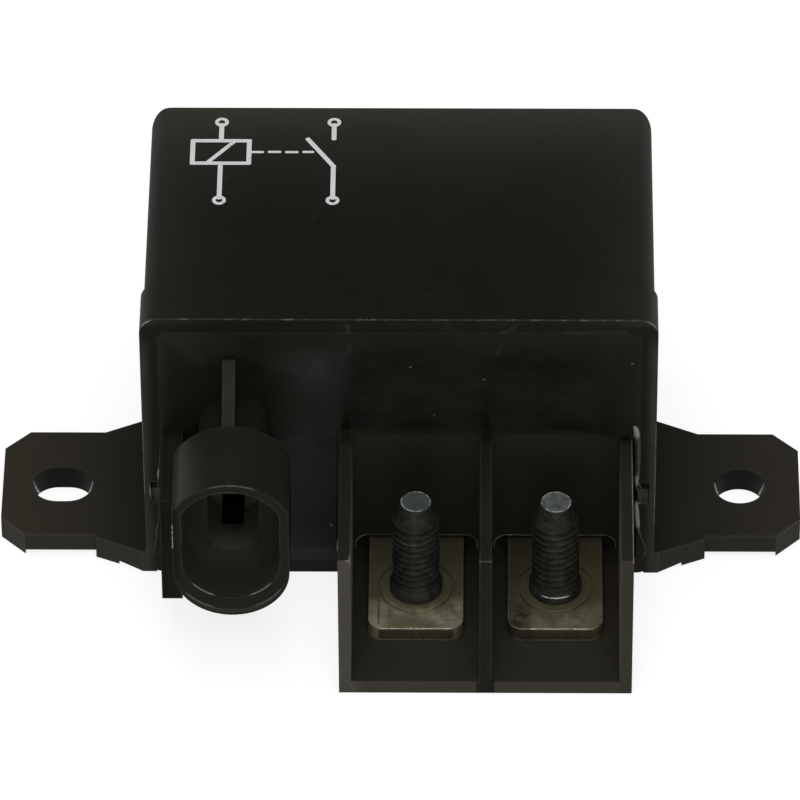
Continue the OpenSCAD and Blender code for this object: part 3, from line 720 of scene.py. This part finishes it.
def tarnished_brass(studs):
    """Stamped strip: studs is a list of the (x, y) of the studs that it is clamped by."""
    b = Bench("tarnished_brass")
    rolled = b.noise(0.5, 3.0, b.stretched(1.6, 0.12, 1.0), roughness=0.65)
    stains = b.noise(3.1, 4.0, roughness=0.62)
    mottle = b.noise(0.9, 3.0, roughness=0.6)
    patchy = (stains * 0.6 + mottle * 0.4).ramp(0.36, 0.64)
    near = off_axis(b, studs)
    right_bar = b.x.ramp(9.0, 13.0)
    # painted light: a reflection brightening the front of the left bar; painted shade behind the
    # fronts of both bars
    painted_lit_front = b.y.ramp(-20.5, -24.0) * (0.55 + 0.45 * stains.ramp(0.35, 0.6))
    painted_lit_front = painted_lit_front * (1.0 - 0.42 * right_bar)
    left_side = b.within(b.x - 13.5, 0.0, 3.2, 0.5)
    # darker round the stud: stains, and painted shade of the stud
    stud_stain_and_shade = near.ramp(4.9, 3.7)
    # the stamped ring painted lighter to take out the shade in its groove
    ring = b.within(near, 4.40, 5.0, 0.24)
    corner = b.around([(14.6, -26.4, 3.9), (15.6, -24.6, 3.9)], 2.2) * mottle.ramp(0.42, 0.55)
    end_face = b.y.ramp(-27.2, -27.33) * b.z.ramp(3.75, 3.55)
    scratches = (
        b.scratches(0.10, 9.0, 62.0, 0.66)
        + b.scratches(0.09, 7.0, -20.0, 0.67)
        + b.scratches(0.08, 6.0, 8.0, 0.68)
    ).smaller(1.0)
    spots = b.cells(1.3).ramp(0.20, 0.10) * b.noise(2.6).ramp(0.5, 0.62)
    nick = b.within(abs(b.x - studs[0][0] + 4.72), 0.0, 0.09, 0.05)
    nick = nick * b.within(b.y, -26.6, -22.4, 0.2)
    # the burr on the outline, painted bright as a highlight, most at the front edge
    outline = b.edge_wear_and_sheen(0.22) * near.ramp(5.3, 5.5)
    front_highlight_strength = 0.35 + 0.65 * b.y.ramp(-26.6, -27.1)
    burr_and_highlight = outline * front_highlight_strength * (0.3 + 0.9 * b.noise(0.6, 2.0).ramp(0.34, 0.52))
    colour = b.painted(
        b.tint(patchy, (0.290, 0.262, 0.150), (0.520, 0.485, 0.325)),
        (painted_lit_front * (1.0 - right_bar) * 0.4, (0.80, 0.76, 0.56)),
        (1.0 - painted_lit_front, (0.232, 0.208, 0.128)),
        (left_side * 0.6, (0.110, 0.100, 0.066)),
        (stud_stain_and_shade * 0.5, (0.120, 0.104, 0.060)),
        (ring * 0.22, (0.30, 0.27, 0.17)),
        (corner * 0.8, (0.060, 0.055, 0.036)),
        (end_face * 0.88, (0.090, 0.083, 0.056)),
        (scratches * 0.2, (0.52, 0.49, 0.36)),
        (spots * 0.6, (0.060, 0.050, 0.030)),
        (nick * 0.9, (0.055, 0.040, 0.022)),
        (burr_and_highlight * 0.9, (0.86, 0.83, 0.70)),
    )
    roughness = 0.36 + 0.16 * stains + 0.10 * (rolled - 0.5) - 0.12 * scratches + 0.12 * stud_stain_and_shade
    height = rolled * 0.5 + mottle * 0.35 - scratches * 0.35 - spots * 0.4
    return b.finish(
        Base_Color=colour,
        Metallic=0.82,
        Roughness=roughness - 0.14 * burr_and_highlight,
        Normal=b.relief(height, 0.016, b.soft_edge(0.16)),
    )


def stud_at(side):
    """The (x, y) of a stud's axis in millimetres, and its lowest and highest z."""
    low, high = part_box(f"load_stud_{side}")
    middle = (low + high) / 2
    return middle.x / MM, middle.y / MM, low.z / MM, high.z / MM


LEFT_STUD, RIGHT_STUD = stud_at("left"), stud_at("right")
brass_finish = tarnished_brass([LEFT_STUD[:2], RIGHT_STUD[:2]])
print("studs at", [round(v, 2) for v in LEFT_STUD], [round(v, 2) for v in RIGHT_STUD])


# %% Dark plated stud steel
def dark_stud_steel(top):
    """Phosphated steel, oily grey; pale are the sheared tip and the thread crests, partly worn
    and partly painted highlight, with painted highlights on one turn, on the tip's rim and at
    the foot of the collar.
    """
    b = Bench("dark_stud_steel")
    cloud = b.noise(1.1, 3.0, roughness=0.6)
    colour = b.tint(cloud.ramp(0.35, 0.65), (0.020, 0.021, 0.016), (0.040, 0.042, 0.034))
    worn = b.noise(1.4, 3.0, b.stretched(1.0, 1.0, 1.6)).ramp(0.46, 0.60)
    # thread crests paler, more towards the top: partly wear, partly painted highlight
    crest = b.edge_wear_and_sheen(0.12) * b.z.ramp(top - 2.2, top - 2.6)
    upper = 0.25 + 0.75 * b.z.ramp(top - 9.5, top - 4.5)
    left = b.x.ramp(12.0, 9.0)
    # painted highlight on one turn of the left stud's thread
    turn = b.within(b.z, 13.05, 13.75, 0.1) * left * b.y.ramp(-21.6, -22.1)
    from_axis = off_axis(b, [LEFT_STUD[:2], RIGHT_STUD[:2]])
    flat = b.z.ramp(top - 0.12, top - 0.05)
    sheared = b.noise(0.9, 3.0, roughness=0.6)
    disc = b.tint(sheared.ramp(0.36, 0.64), (0.105, 0.122, 0.110), (0.175, 0.200, 0.190))
    disc = b.tint(left * 0.75, disc, (0.075, 0.088, 0.080))
    # painted highlight ring on the rim of the tip
    lip = b.within(from_axis, 1.74, 1.90, 0.04) * flat * b.noise(0.7, 3.0).ramp(0.42, 0.56)
    # painted highlight along the foot of the right stud's collar
    foot = b.within(b.z, 4.99, 5.13, 0.04) * b.y.ramp(-22.3, -22.7) * b.x.ramp(10.0, 12.0)
    colour = b.painted(
        colour,
        (crest * (0.17 + 0.55 * worn) * upper, (0.20, 0.21, 0.20)),
        (crest * turn * 0.9, (0.46, 0.47, 0.44)),
        (flat, disc),
        (lip * 0.7, (0.62, 0.64, 0.60)),
        (foot * b.noise(0.8, 2.0).ramp(0.28, 0.42), (0.78, 0.77, 0.70)),
    )
    lathe = b.noise(0.10, 1.0, b.stretched(0.2, 0.2, 1.0))
    return b.finish(
        Base_Color=colour,
        Metallic=0.35,
        Roughness=0.50 + 0.14 * cloud - 0.08 * crest,
        Specular_IOR_Level=0.15,
        Normal=b.relief(lathe * 0.6 + cloud * 0.5, 0.012),
    )


stud_finish = dark_stud_steel(LEFT_STUD[3])
print("stud top", round(LEFT_STUD[3], 2), "mm")


# %% Cleaner metals inside the case
def plain_metal(name, low, high, rough, marks):
    """A metal with fine lines one way; marks stretches them (x, y, z)."""
    b = Bench(name)
    lines = b.noise(0.35, 3.0, b.stretched(*marks), roughness=0.6)
    cloud = b.noise(2.4, 3.0)
    colour = b.tint((lines * 0.5 + cloud * 0.5).ramp(0.3, 0.7), low, high)
    # outside edges painted paler: partly wear, partly painted highlight
    edge = b.edge_wear_and_sheen(0.12)
    colour = b.tint(edge * 0.5, colour, tuple(min(1.0, 1.25 * v) for v in high))
    return b.finish(
        Base_Color=colour,
        Metallic=1.0,
        Roughness=rough + 0.16 * cloud + 0.08 * (lines - 0.5) - 0.06 * edge,
        Normal=b.relief(lines, 0.008, b.soft_edge(0.08)),
    )


METALS = {
    "zinc_plated_iron": ((0.40, 0.41, 0.42), (0.56, 0.57, 0.60), 0.24, (0.3, 1.0, 2.2)),
    "contact_silver": ((0.72, 0.72, 0.69), (0.86, 0.86, 0.83), 0.16, (1.0, 1.0, 1.0)),
    "dull_tin": ((0.014, 0.0135, 0.011), (0.030, 0.029, 0.025), 0.46, (2.0, 0.2, 2.0)),
    "bare_copper": ((0.60, 0.26, 0.14), (0.74, 0.36, 0.21), 0.26, (0.3, 1.6, 1.6)),
    "spring_wire": ((0.48, 0.48, 0.48), (0.66, 0.66, 0.66), 0.20, (1.0, 1.0, 1.0)),
}
metal = {name: plain_metal(name, *look) for name, look in METALS.items()}
print("inner metals:", len(metal))

# %% [markdown]
# ## Coil parts
#
# The coil is enamelled copper wire in tight turns on a natural-coloured bobbin. The turns
# are finer than a third of a millimetre, so they are a rhythm in the height and not shapes, and
# the grooves between them are painted darker as shade.
# The resistor across the coil carries colour bands, which are masks along its length.


# %% Enamelled winding, bobbin and resistor
def wound_copper(wire):
    """Turns of wire that thick, wound round the Y axis, with the odd turn out of step and the grooves
    between turns painted darker as shade.
    """
    b = Bench("wound_copper")
    drift = b.noise(5.0, 2.0) * 0.5
    turn = (b.y * (math.pi / wire) + drift).sine()
    ridge_and_groove_shade = abs(turn)
    # the grooves between turns painted dark as shade, the crests light
    colour = b.tint(ridge_and_groove_shade, (0.16, 0.050, 0.022), (0.60, 0.25, 0.12))
    colour = b.tint(b.noise(1.2, 3.0).ramp(0.5, 0.7) * 0.4, colour, (0.42, 0.14, 0.06))
    return b.finish(
        Base_Color=colour,
        Metallic=0.85,
        Roughness=0.24 + 0.12 * b.noise(2.0),
        Coat_Weight=0.6,
        Coat_Roughness=0.12,
        Normal=b.relief(ridge_and_groove_shade, wire / 2),
    )


def natural_plastic():
    """Uncoloured glass-filled plastic: ivory, cloudy, satin."""
    b = Bench("bobbin_plastic")
    cloud = b.noise(4.0, 3.0)
    grain = b.noise(0.2, 2.0)
    colour = b.tint(cloud.ramp(0.3, 0.7), (0.58, 0.54, 0.42), (0.74, 0.71, 0.60))
    fibres = b.scratches(0.12, 4.0, 15.0, 0.66)
    colour = b.tint(fibres * 0.3, colour, (0.82, 0.80, 0.72))
    return b.finish(
        Base_Color=colour,
        Roughness=0.42 + 0.14 * cloud,
        Normal=b.relief(grain + 0.3 * fibres, 0.014, b.soft_edge(0.12)),
    )


BANDS = (
    (-2.6, (0.10, 0.035, 0.02)),
    (-1.3, (0.012, 0.012, 0.012)),
    (0.0, (0.30, 0.02, 0.015)),
    (1.3, (0.012, 0.012, 0.012)),
    (2.8, (0.45, 0.26, 0.06)),
)


def banded_resistor():
    """A lacquered body with five bands and tinned leads."""
    b = Bench("banded_resistor")
    low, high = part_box("resistor")
    middle = (low.y + high.y) / 2 / MM
    lacquer = b.noise(1.0, 3.0)
    place = b.y - middle
    bands = [(b.within(place, at - 0.32, at + 0.32, 0.04), paint) for at, paint in BANDS]
    lead = abs(place).ramp(3.98, 4.02)
    colour = b.tint(lacquer.ramp(0.3, 0.7), (0.26, 0.37, 0.42), (0.36, 0.47, 0.52))
    colour = b.painted(colour, *bands, (lead, (0.62, 0.60, 0.55)))
    return b.finish(
        Base_Color=colour,
        Metallic=lead * 0.95,
        Roughness=0.26 + 0.12 * lacquer,
        Normal=b.relief(lacquer, 0.02),
    )


copper_finish = wound_copper(0.32)
bobbin_finish = natural_plastic()
resistor_finish = banded_resistor()
print("coil finishes: 3")

# %% [markdown]
# ## Dressing the solids
#
# Most solids already have their final shape, so each only gets its finish. The mesh of such a
# solid stays as it is, loose triangles and all, because the finish rounds its edges.

# %% Give each solid its finish
WORN_BY = (
    (shell_finish, ["housing"]),
    (base_finish, ["terminal_base"]),
    (resin_finish, ["sealing_resin"]),
    (brass_finish, ["load_bar_left", "load_bar_right"]),
    (metal["contact_silver"], ["fixed_contact_left", "fixed_contact_right"]),
    (metal["contact_silver"], ["moving_contact_left", "moving_contact_right"]),
    (metal["zinc_plated_iron"], ["yoke", "core", "armature"]),
    (metal["bare_copper"], ["contact_bridge"]),
    (metal["dull_tin"], ["coil_pin_upper", "coil_pin_lower"]),
    (bobbin_finish, ["bobbin", "carrier"]),
    (copper_finish, ["winding"]),
    (resistor_finish, ["resistor"]),
)
for finish, names in WORN_BY:
    for name in names:
        nodes[name].data.materials.clear()
        nodes[name].data.materials.append(finish)
print("dressed:", sum(len(names) for _, names in WORN_BY), "of", len(nodes))

# %% [markdown]
# ## A helper for new pieces
#
# A new piece is shaped as a bmesh in millimetres, which suits the hand, and only scaled to
# metres at the very end. Its object stays at the origin, so that a pattern on it stays put.

# %% Moving, turning and spinning a whole shape
WELD = 0.0005
UPRIGHT = Matrix.Rotation(math.pi / 2, 3, "X")


def move(shape, vec):
    """Moves all of a shape, in millimetres."""
    bmesh.ops.translate(shape, verts=shape.verts, vec=vec)


def turn(shape, matrix):
    """Turns all of a shape about the origin."""
    bmesh.ops.rotate(shape, verts=shape.verts, matrix=matrix)


def spin(shape, steps, turns=1.0, climb=0.0):
    """Spins all of a shape about Z, as a lathe would; climb is the rise of a step."""
    bmesh.ops.spin(
        shape,
        geom=shape.faces[:] + shape.edges[:] + shape.verts[:],
        cent=(0, 0, 0),
        axis=(0, 0, 1),
        dvec=(0, 0, climb),
        angle=2 * math.pi * turns,
        steps=steps,
        use_merge=climb == 0.0,
    )


def open_edges(shape):
    """The edges that bound only one face."""
    return [edge for edge in shape.edges if len(edge.link_faces) == 1]


# %% From a shape in millimetres to a piece
def piece(name, shape, finish, body, smooth=50.0):
    """Closes the work on a bmesh and puts the piece on its body when that is a name.

    body is a name, or (one, other, start, end) for a spring between two bodies; these four
    are not used, and such a piece only has its place fixed in its mesh.
    """
    bmesh.ops.remove_doubles(shape, verts=shape.verts, dist=WELD)
    bmesh.ops.recalc_face_normals(shape, faces=shape.faces)
    bmesh.ops.scale(shape, verts=shape.verts, vec=(MM, MM, MM))
    for face in shape.faces:
        face.smooth = True
    sharp = math.radians(smooth)
    for edge in shape.edges:
        edge.smooth = len(edge.link_faces) == 2 and edge.calc_face_angle() < sharp
    mesh = bpy.data.meshes.new(name)
    shape.to_mesh(mesh)
    shape.free()
    mesh.materials.append(finish)
    made = bpy.data.objects.new(name, mesh)
    bpy.context.scene.collection.objects.link(made)
    if isinstance(body, str):
        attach(made, body)
    else:
        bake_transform(made)
    print(name, "has", len(mesh.polygons), "faces")
    return made


# %% [markdown]
# ## The load studs
#
# A stud is turned, so its outline is spun round its axis. The thread is cut the way a die
# cuts it: the spun rows are fine enough that every point can be moved in by how far it lies
# from the crest of a right-hand helix. The cut fades out at both ends, as on the real stud,
# and the tip is a cone with a flat end.

# %% Spin a stud and cut its thread
PITCH = 1.0
THREAD_DEPTH = 0.50
CREST, FLANK = 0.16, 0.60
RUN_IN, RUN_OUT = 0.8, 0.5
ROWS_PER_TURN, STEPS_ROUND = 14, 56
SHAFT_R, COLLAR_R, HEAD_R = 3.0, 3.35, 4.75
HEAD_T = 1.4
BAR_T = 2.0
COLLAR_H = 1.6
TIP_H = 2.4
TIP = (
    (2.92, TIP_H + 0.12), (2.72, TIP_H - 0.30), (2.30, 1.10), (2.02, 0.30),
    (1.96, 0.10), (1.88, 0.0), (1.50, 0.03), (0.0, 0.04),
)


def threaded_stud(side):
    """The stud that replaces the plain solid on that side."""
    x, y, low, top = LEFT_STUD if side == "left" else RIGHT_STUD
    bar_top = low + HEAD_T + BAR_T
    start, end = bar_top + COLLAR_H, top - TIP_H - 0.25
    foot = [
        (0, low), (HEAD_R, low), (HEAD_R, low + HEAD_T), (SHAFT_R, low + HEAD_T), (SHAFT_R, bar_top),
        (COLLAR_R - 0.12, bar_top), (COLLAR_R, bar_top + 0.12), (COLLAR_R, bar_top + COLLAR_H - 0.45),
        (COLLAR_R - 0.25, bar_top + COLLAR_H - 0.10),
    ]
    rows = round((end - start) / PITCH * ROWS_PER_TURN)
    shank = [(SHAFT_R, start + (end - start) * i / rows) for i in range(rows + 1)]
    tip = [(radius, top - drop) for radius, drop in TIP]
    shape = bmesh.new()
    points = [shape.verts.new((r, 0, z)) for r, z in foot + shank + tip]
    for pair in zip(points, points[1:]):
        shape.edges.new(pair)
    spin(shape, STEPS_ROUND)
    bmesh.ops.remove_doubles(shape, verts=shape.verts, dist=WELD)
    for vert in shape.verts:
        z = vert.co.z
        if not start < z < end or vert.co.xy.length < SHAFT_R - 0.01:
            continue
        turns = z / PITCH - math.atan2(vert.co.y, vert.co.x) / (2 * math.pi)
        off_crest = 1 - abs((turns % 1.0) - 0.5) * 2
        cut = min(1.0, max(0.0, (off_crest - CREST) / FLANK))
        fade = min(1.0, (z - start) / RUN_IN, (end - z) / RUN_OUT)
        vert.co.xy *= 1 - THREAD_DEPTH * cut * fade / SHAFT_R
    move(shape, (x, y, 0))
    made = piece(f"threaded_stud_{side}", shape, stud_finish, "case", 38.0)
    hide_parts(f"load_stud_{side}")


for side in ("left", "right"):
    threaded_stud(side)

# %% [markdown]
# ## Resin that crept
#
# The resin is poured while the relay lies on its back, so it wets the whole face of the block
# as a thin skin and climbs the rim until it is flush with it, which is why no inner edge of
# the rim can be seen. At the bottom it is flush up to a low level line, and runs from the
# pouring show on it. The skin is one grid whose points are pushed forward by a height in
# millimetres, and its edge is drawn back into the solid.

# %% Where the skin lies
HALF_MOUTH = 30.15
SILL, LINTEL = 1.9, 40.6
TRAY_LEFT, TRAY_TOP = -7.5, 22.6
FACE = -10.65
RIM_STEP = 1.97
SKIN_T = 0.09
FROM_TOP, FROM_SIDE, FROM_LEDGE = 7.0, 5.0, 5.0
PATCH_X, PATCH_Z, PATCH_R = -10.2, 34.0, 1.9
RUNS = (
    ((5.9, 42.0), (8.6, 37.8), 0.80, 0.16),
    ((14.6, 41.9), (13.1, 40.7), 0.70, 0.20),
    ((13.1, 40.7), (12.4, 36.4), 0.70, 0.20),
    ((20.8, 40.8), (28.3, 41.1), 0.50, 0.12),
    ((-6.4, 41.9), (-6.2, 37.0), 0.60, 0.20),
)


def off_line(x, z, start, end):
    """Distance from (x, z) to a line between two points."""
    ax, az = end[0] - start[0], end[1] - start[1]
    share = ((x - start[0]) * ax + (z - start[1]) * az) / (ax * ax + az * az)
    share = min(1.0, max(0.0, share))
    return math.hypot(x - start[0] - share * ax, z - start[1] - share * az)


def bell(away):
    """1 in the middle, gone two widths away."""
    return math.exp(-(away**2))


def skin_height(x, z):
    """How far the resin stands in front of the block's face."""
    ripple = noise.noise((x * 0.35, z * 0.35, 4.0))
    fine = noise.noise((x * 1.1, z * 1.1, 9.0))
    height = SKIN_T + 0.05 * ripple + 0.025 * fine
    for start, end, width, rise in RUNS:
        height += rise * bell(off_line(x, z, start, end) / width)
    height += 0.10 * math.exp(-(((x - PATCH_X) / PATCH_R) ** 4) - ((z - PATCH_Z) / PATCH_R) ** 4)
    under, beside, over = LINTEL - z, HALF_MOUTH - abs(x), max(0.0, z - LEDGE)
    wet = max(bell(under / FROM_TOP), bell(beside / FROM_SIDE), bell(over / FROM_LEDGE))
    return height + (RIM_STEP - height) * wet


# %% The skin of resin
def resin_skin():
    """A grid over the face of the block, without the part behind the studs."""
    shape = bmesh.new()
    bmesh.ops.create_grid(shape, x_segments=172, y_segments=110, size=0.5)
    bmesh.ops.scale(shape, verts=shape.verts, vec=(2 * HALF_MOUTH, LINTEL - SILL, 1))
    turn(shape, UPRIGHT)
    move(shape, (0, FACE, (SILL + LINTEL) / 2))
    behind_tray = [
        face
        for face in shape.faces
        if face.calc_center_median().x > TRAY_LEFT - 0.4
        and face.calc_center_median().z < TRAY_TOP + 0.5
    ]
    bmesh.ops.delete(shape, geom=behind_tray, context="FACES")
    for vert in shape.verts:
        vert.co.y -= skin_height(vert.co.x, vert.co.z)
    drawn = bmesh.ops.extrude_edge_only(shape, edges=open_edges(shape))["geom"]
    for vert in (g for g in drawn if isinstance(g, bmesh.types.BMVert)):
        vert.co.y = FACE + 0.30
    bmesh.ops.contextual_create(shape, geom=open_edges(shape))
    piece("resin_skin", shape, resin_finish, "case", 60.0)


resin_skin()

# %% [markdown]
# ## Beads along the rim
#
# Between the last barrier wall and the rim the resin came forward and set as a thin, uneven
# bead, and on the other side it left fine threads along the rim's inner edge. A bead is
# material along a path, so it is drawn as a curve whose radius changes from point to point,
# and then made a mesh.


# %% A run of material along a path
def thread_of(name, path, finish, body):
    """path is a list of (x, y, z, radius) in millimetres."""
    drawn = bpy.data.curves.new(name + "_path", "CURVE")
    drawn.dimensions = "3D"
    drawn.bevel_depth = 1.0
    drawn.bevel_resolution = 3
    drawn.resolution_u = 5
    drawn.use_fill_caps = True
    line = drawn.splines.new("NURBS")
    line.points.add(len(path) - 1)
    line.use_endpoint_u = True
    line.order_u = 4
    for point, (x, y, z, radius) in zip(line.points, path):
        point.co = (x, y, z, 1.0)
        point.radius = radius
    holder = bpy.data.objects.new(name + "_path", drawn)
    swept = bpy.data.meshes.new_from_object(holder)
    shape = bmesh.new()
    shape.from_mesh(swept)
    bpy.data.objects.remove(holder)
    bpy.data.curves.remove(drawn)
    bpy.data.meshes.remove(swept)
    piece(name, shape, finish, body, 60.0)


# A point is (x, z, radius) in the plane of BEAD_Y, or has its own y as a fourth value.
BEAD_Y = -12.6
BEADS = {
    "resin_bead_upper": [
        (28.6, 26.0, 0.10, -10.9), (29.2, 25.7, 0.12, -11.4), (29.63, 25.4, 0.26, -12.4),
        (29.95, 24.3, 0.40, -12.55), (30.05, 22.8, 0.44), (30.12, 20.3, 0.44),
        (30.10, 17.8, 0.42), (30.02, 16.5, 0.36), (30.04, 14.9, 0.12),
        (30.05, 14.2, 0.08, -12.5),
    ],
    "resin_bead_spike": [
        (30.2, 15.6, 0.08), (30.4, 15.2, 0.10), (31.0, 13.6, 0.11),
        (31.42, 13.25, 0.07, -12.55), (31.0, 12.7, 0.11), (30.5, 12.15, 0.10),
        (30.05, 11.7, 0.10),
    ],
    "resin_bead_lower": [
        (30.02, 12.3, 0.12, -12.5), (30.05, 11.6, 0.32), (30.15, 10.0, 0.36), (30.3, 7.4, 0.30),
        (30.7, 6.2, 0.13), (31.2, 4.8, 0.11), (31.3, 3.6, 0.11), (31.1, 2.6, 0.10),
        (30.2, 1.5, 0.08, -12.5),
    ],
    "resin_edge_inner": [
        (-30.14, 23.3, 0.06), (-30.29, 20.1, 0.10), (-30.47, 17.6, 0.10), (-30.60, 16.9, 0.20),
        (-30.62, 16.0, 0.08), (-30.65, 12.4, 0.07), (-30.73, 11.4, 0.09), (-30.54, 9.3, 0.10),
        (-31.16, 7.1, 0.13), (-30.94, 5.9, 0.10), (-31.29, 4.5, 0.08), (-31.65, 3.0, 0.05),
    ],
    "resin_foot": [
        (-7.70, 6.6, 0.06, -12.5), (-7.80, 5.6, 0.17), (-7.86, 4.4, 0.28), (-7.84, 3.4, 0.27),
        (-7.70, 2.5, 0.14),
    ],
    "resin_edge_outer": [
        (-30.71, 22.9, 0.04), (-30.79, 20.1, 0.07), (-30.80, 17.5, 0.05),
    ],
    "pocket_burr": [
        (-31.70, 15.5, 0.05), (-31.68, 13.9, 0.12), (-31.62, 12.4, 0.11), (-31.30, 11.85, 0.08),
        (-30.9, 11.7, 0.06),
    ],
}
for name, points in BEADS.items():
    path = [(x, *(own_y or [BEAD_Y]), z, radius) for x, z, radius, *own_y in points]
    thread_of(name, path, bead_finish, "case")

# %% [markdown]
# ## The print on top
#
# Such a relay carries white pad print on its top. Here it is the plain circuit symbol of a
# relay: a coil with its stroke, and a contact that it closes. Every line is a thin flat
# stroke with rounded corners, raised by the thickness of the ink.


# %% White pad print
def pad_ink():
    """Dense white ink, thinner where it is worn."""
    b = Bench("pad_ink")
    worn = b.noise(0.7, 4.0, roughness=0.65).ramp(0.60, 0.74)
    cloud = b.noise(3.0, 2.0)
    colour = b.tint(cloud, (0.74, 0.75, 0.76), (0.86, 0.87, 0.87))
    colour = b.tint(worn * 0.75, colour, (0.10, 0.10, 0.095))
    return b.finish(
        Base_Color=colour,
        Roughness=0.50 + 0.12 * cloud,
        Specular_IOR_Level=0.3,
        Normal=b.relief(b.noise(0.25, 2.0), 0.006),
    )


ink_finish = pad_ink()
INK_T, SUNK = 0.03, 0.01
MARK_STEP = 0.002
TOP = cad_high.z / MM - 0.4
# A stroke runs from (x, y) to (x, y) and has a width.
SYMBOL = (
    (-26.6, 18.0, -19.4, 18.0, 0.62), (-26.6, 22.4, -19.4, 22.4, 0.62),
    (-26.6, 18.0, -26.6, 22.4, 0.62), (-19.4, 18.0, -19.4, 22.4, 0.62),
    (-24.6, 18.2, -21.4, 22.2, 0.55), (-23.0, 22.4, -23.0, 25.6, 0.62),
    (-23.0, 18.0, -23.0, 11.2, 0.62), (-19.0, 20.2, -17.7, 20.2, 0.40),
    (-16.8, 20.2, -15.5, 20.2, 0.40), (-14.6, 20.2, -13.3, 20.2, 0.40),
    (-12.4, 20.2, -11.3, 20.2, 0.40), (-8.6, 17.4, -11.9, 22.7, 0.62),
    (-8.6, 11.2, -8.6, 17.4, 0.62), (-8.6, 22.9, -8.6, 25.6, 0.62),
)
RINGS = ((-23.0, 26.1), (-23.0, 10.7), (-8.6, 26.1), (-8.6, 10.7))
RING_RADII = (0.42, 0.88)


def stroke(shape, start, end, width):
    """One straight line of ink with rounded ends, on the plane of the top."""
    run = end - start
    made = bmesh.ops.create_grid(shape, x_segments=1, y_segments=1, size=0.5)["verts"]
    bmesh.ops.scale(shape, verts=made, vec=(run.length + width, width, 1))
    corner = {"affect": "VERTICES", "offset": width * 0.3, "segments": 3, "profile": 0.5}
    bmesh.ops.bevel(shape, geom=made, material=-1, **corner)
    middle = (start + end) / 2
    turn(shape, Matrix.Rotation(math.atan2(run.y, run.x), 3, "Z"))
    move(shape, (middle.x, middle.y, 0))


def printed_symbol():
    """All strokes and the four terminal rings, each a hair above the one before it."""
    layer = bmesh.new()
    marks = [bmesh.new() for _ in range(len(SYMBOL) + len(RINGS))]
    for mark, (*ends, width) in zip(marks, SYMBOL):
        stroke(mark, Vector(ends[:2]), Vector(ends[2:]), width)
    for mark, (x, y) in zip(marks[len(SYMBOL) :], RINGS):
        width = [mark.verts.new((r, 0, 0)) for r in RING_RADII]
        mark.edges.new(width)
        spin(mark, 32)
        move(mark, (x, y, 0))
    for index, mark in enumerate(marks):
        move(mark, (0, 0, MARK_STEP * index))
        part = bpy.data.meshes.new("mark")
        mark.to_mesh(part)
        mark.free()
        layer.from_mesh(part)
        bpy.data.meshes.remove(part)
    bmesh.ops.recalc_face_normals(layer, faces=layer.faces)
    bmesh.ops.solidify(layer, geom=layer.faces[:], thickness=INK_T)
    lowest = min(vert.co.z for vert in layer.verts)
    move(layer, (0, 0, TOP - SUNK - lowest))
    piece("print_symbol", layer, ink_finish, "case", 30.0)


printed_symbol()

# %% [markdown]
# ## Springs
#
# The solids stand in for the springs with plain rings and a rod. A real spring is a wire
# swept along a helix, which the spin operator does when it also moves along its axis.

# %% Coil the springs
HINGE = next(j for j in frame["joints"] if j["name"] == "armature_hinge")
HINGE_AT = Vector(HINGE["pos_m"]) / MM
SWING = math.radians(HINGE["range_deg"][1])
spring_finish = metal["spring_wire"]


def coil(radius, wire, length, turns, along):
    """An open helix that starts at the origin and runs along this direction, ends closed."""
    shape = bmesh.new()
    bmesh.ops.create_circle(shape, cap_ends=True, segments=10, radius=wire)
    turn(shape, UPRIGHT)
    move(shape, (radius, 0, wire))
    steps = int(turns * 24)
    spin(shape, steps, turns, (length - 2 * wire) / steps)
    turn(shape, Vector((0, 0, 1)).rotation_difference(along).to_matrix())
    return shape


def contact_coil():
    """The spring between the carrier and the contact bridge, leaning with the armature."""
    low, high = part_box("contact_spring")
    middle = (low + high) / 2 / MM
    along = Matrix.Rotation(-SWING, 3, "X") @ Vector((0, 1, 0))
    radius, wire, length, turns = 1.85, 0.34, 3.1, 3.5
    shape = coil(radius, wire, length, turns, along)
    move(shape, middle - along * (length / 2))
    half = along * (length / 2 - 0.4)
    seats = ("armature", "bridge", middle - half, middle + half)
    made = piece("contact_coil_spring", shape, spring_finish, seats)
    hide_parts("contact_spring")


def return_coil():
    """The extension spring above the yoke, with its straight ends and cross pins."""
    low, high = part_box("return_spring")
    x, z = (low.x + high.x) / 2 / MM, (low.z + high.z) / 2 / MM
    start, end = HINGE_AT.y + 2.0, HINGE_AT.y + 12.8
    radius, wire, turns, reach = 1.22, 0.26, 18.0, 1.2
    shape = coil(radius, wire, end - start, turns, Vector((0, 1, 0)))
    move(shape, (x, start, z))
    made = piece("return_coil_spring", shape, spring_finish, "case")
    front, rear = low.y / MM + 0.33, high.y / MM - 0.33
    swings = ("armature", "case", (x, front + 2.6, z), (x, start - 0.1, z))
    for name, tip, coil_end, side, body in (
        ("return_spring_front_hook", front, start + wire, -1, swings),
        ("return_spring_rear_hook", rear, end - wire, 1, "case"),
    ):
        shank = (
            (radius, coil_end),
            (0.9, coil_end + side * 0.35),
            (0.0, coil_end + side * 0.5),
            (0.0, coil_end + side * 0.9),
            (0.0, (coil_end + tip) / 2),
            (0.0, tip - side * 0.5),
        )
        path = [(x + aside, y, z, wire) for aside, y in shank]
        path += [(x + aside, tip, z, wire + 0.01) for aside in (0.0, 0.5, reach)]
        thread_of(name, path, spring_finish, body)
    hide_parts("return_spring")


contact_coil()
return_coil()
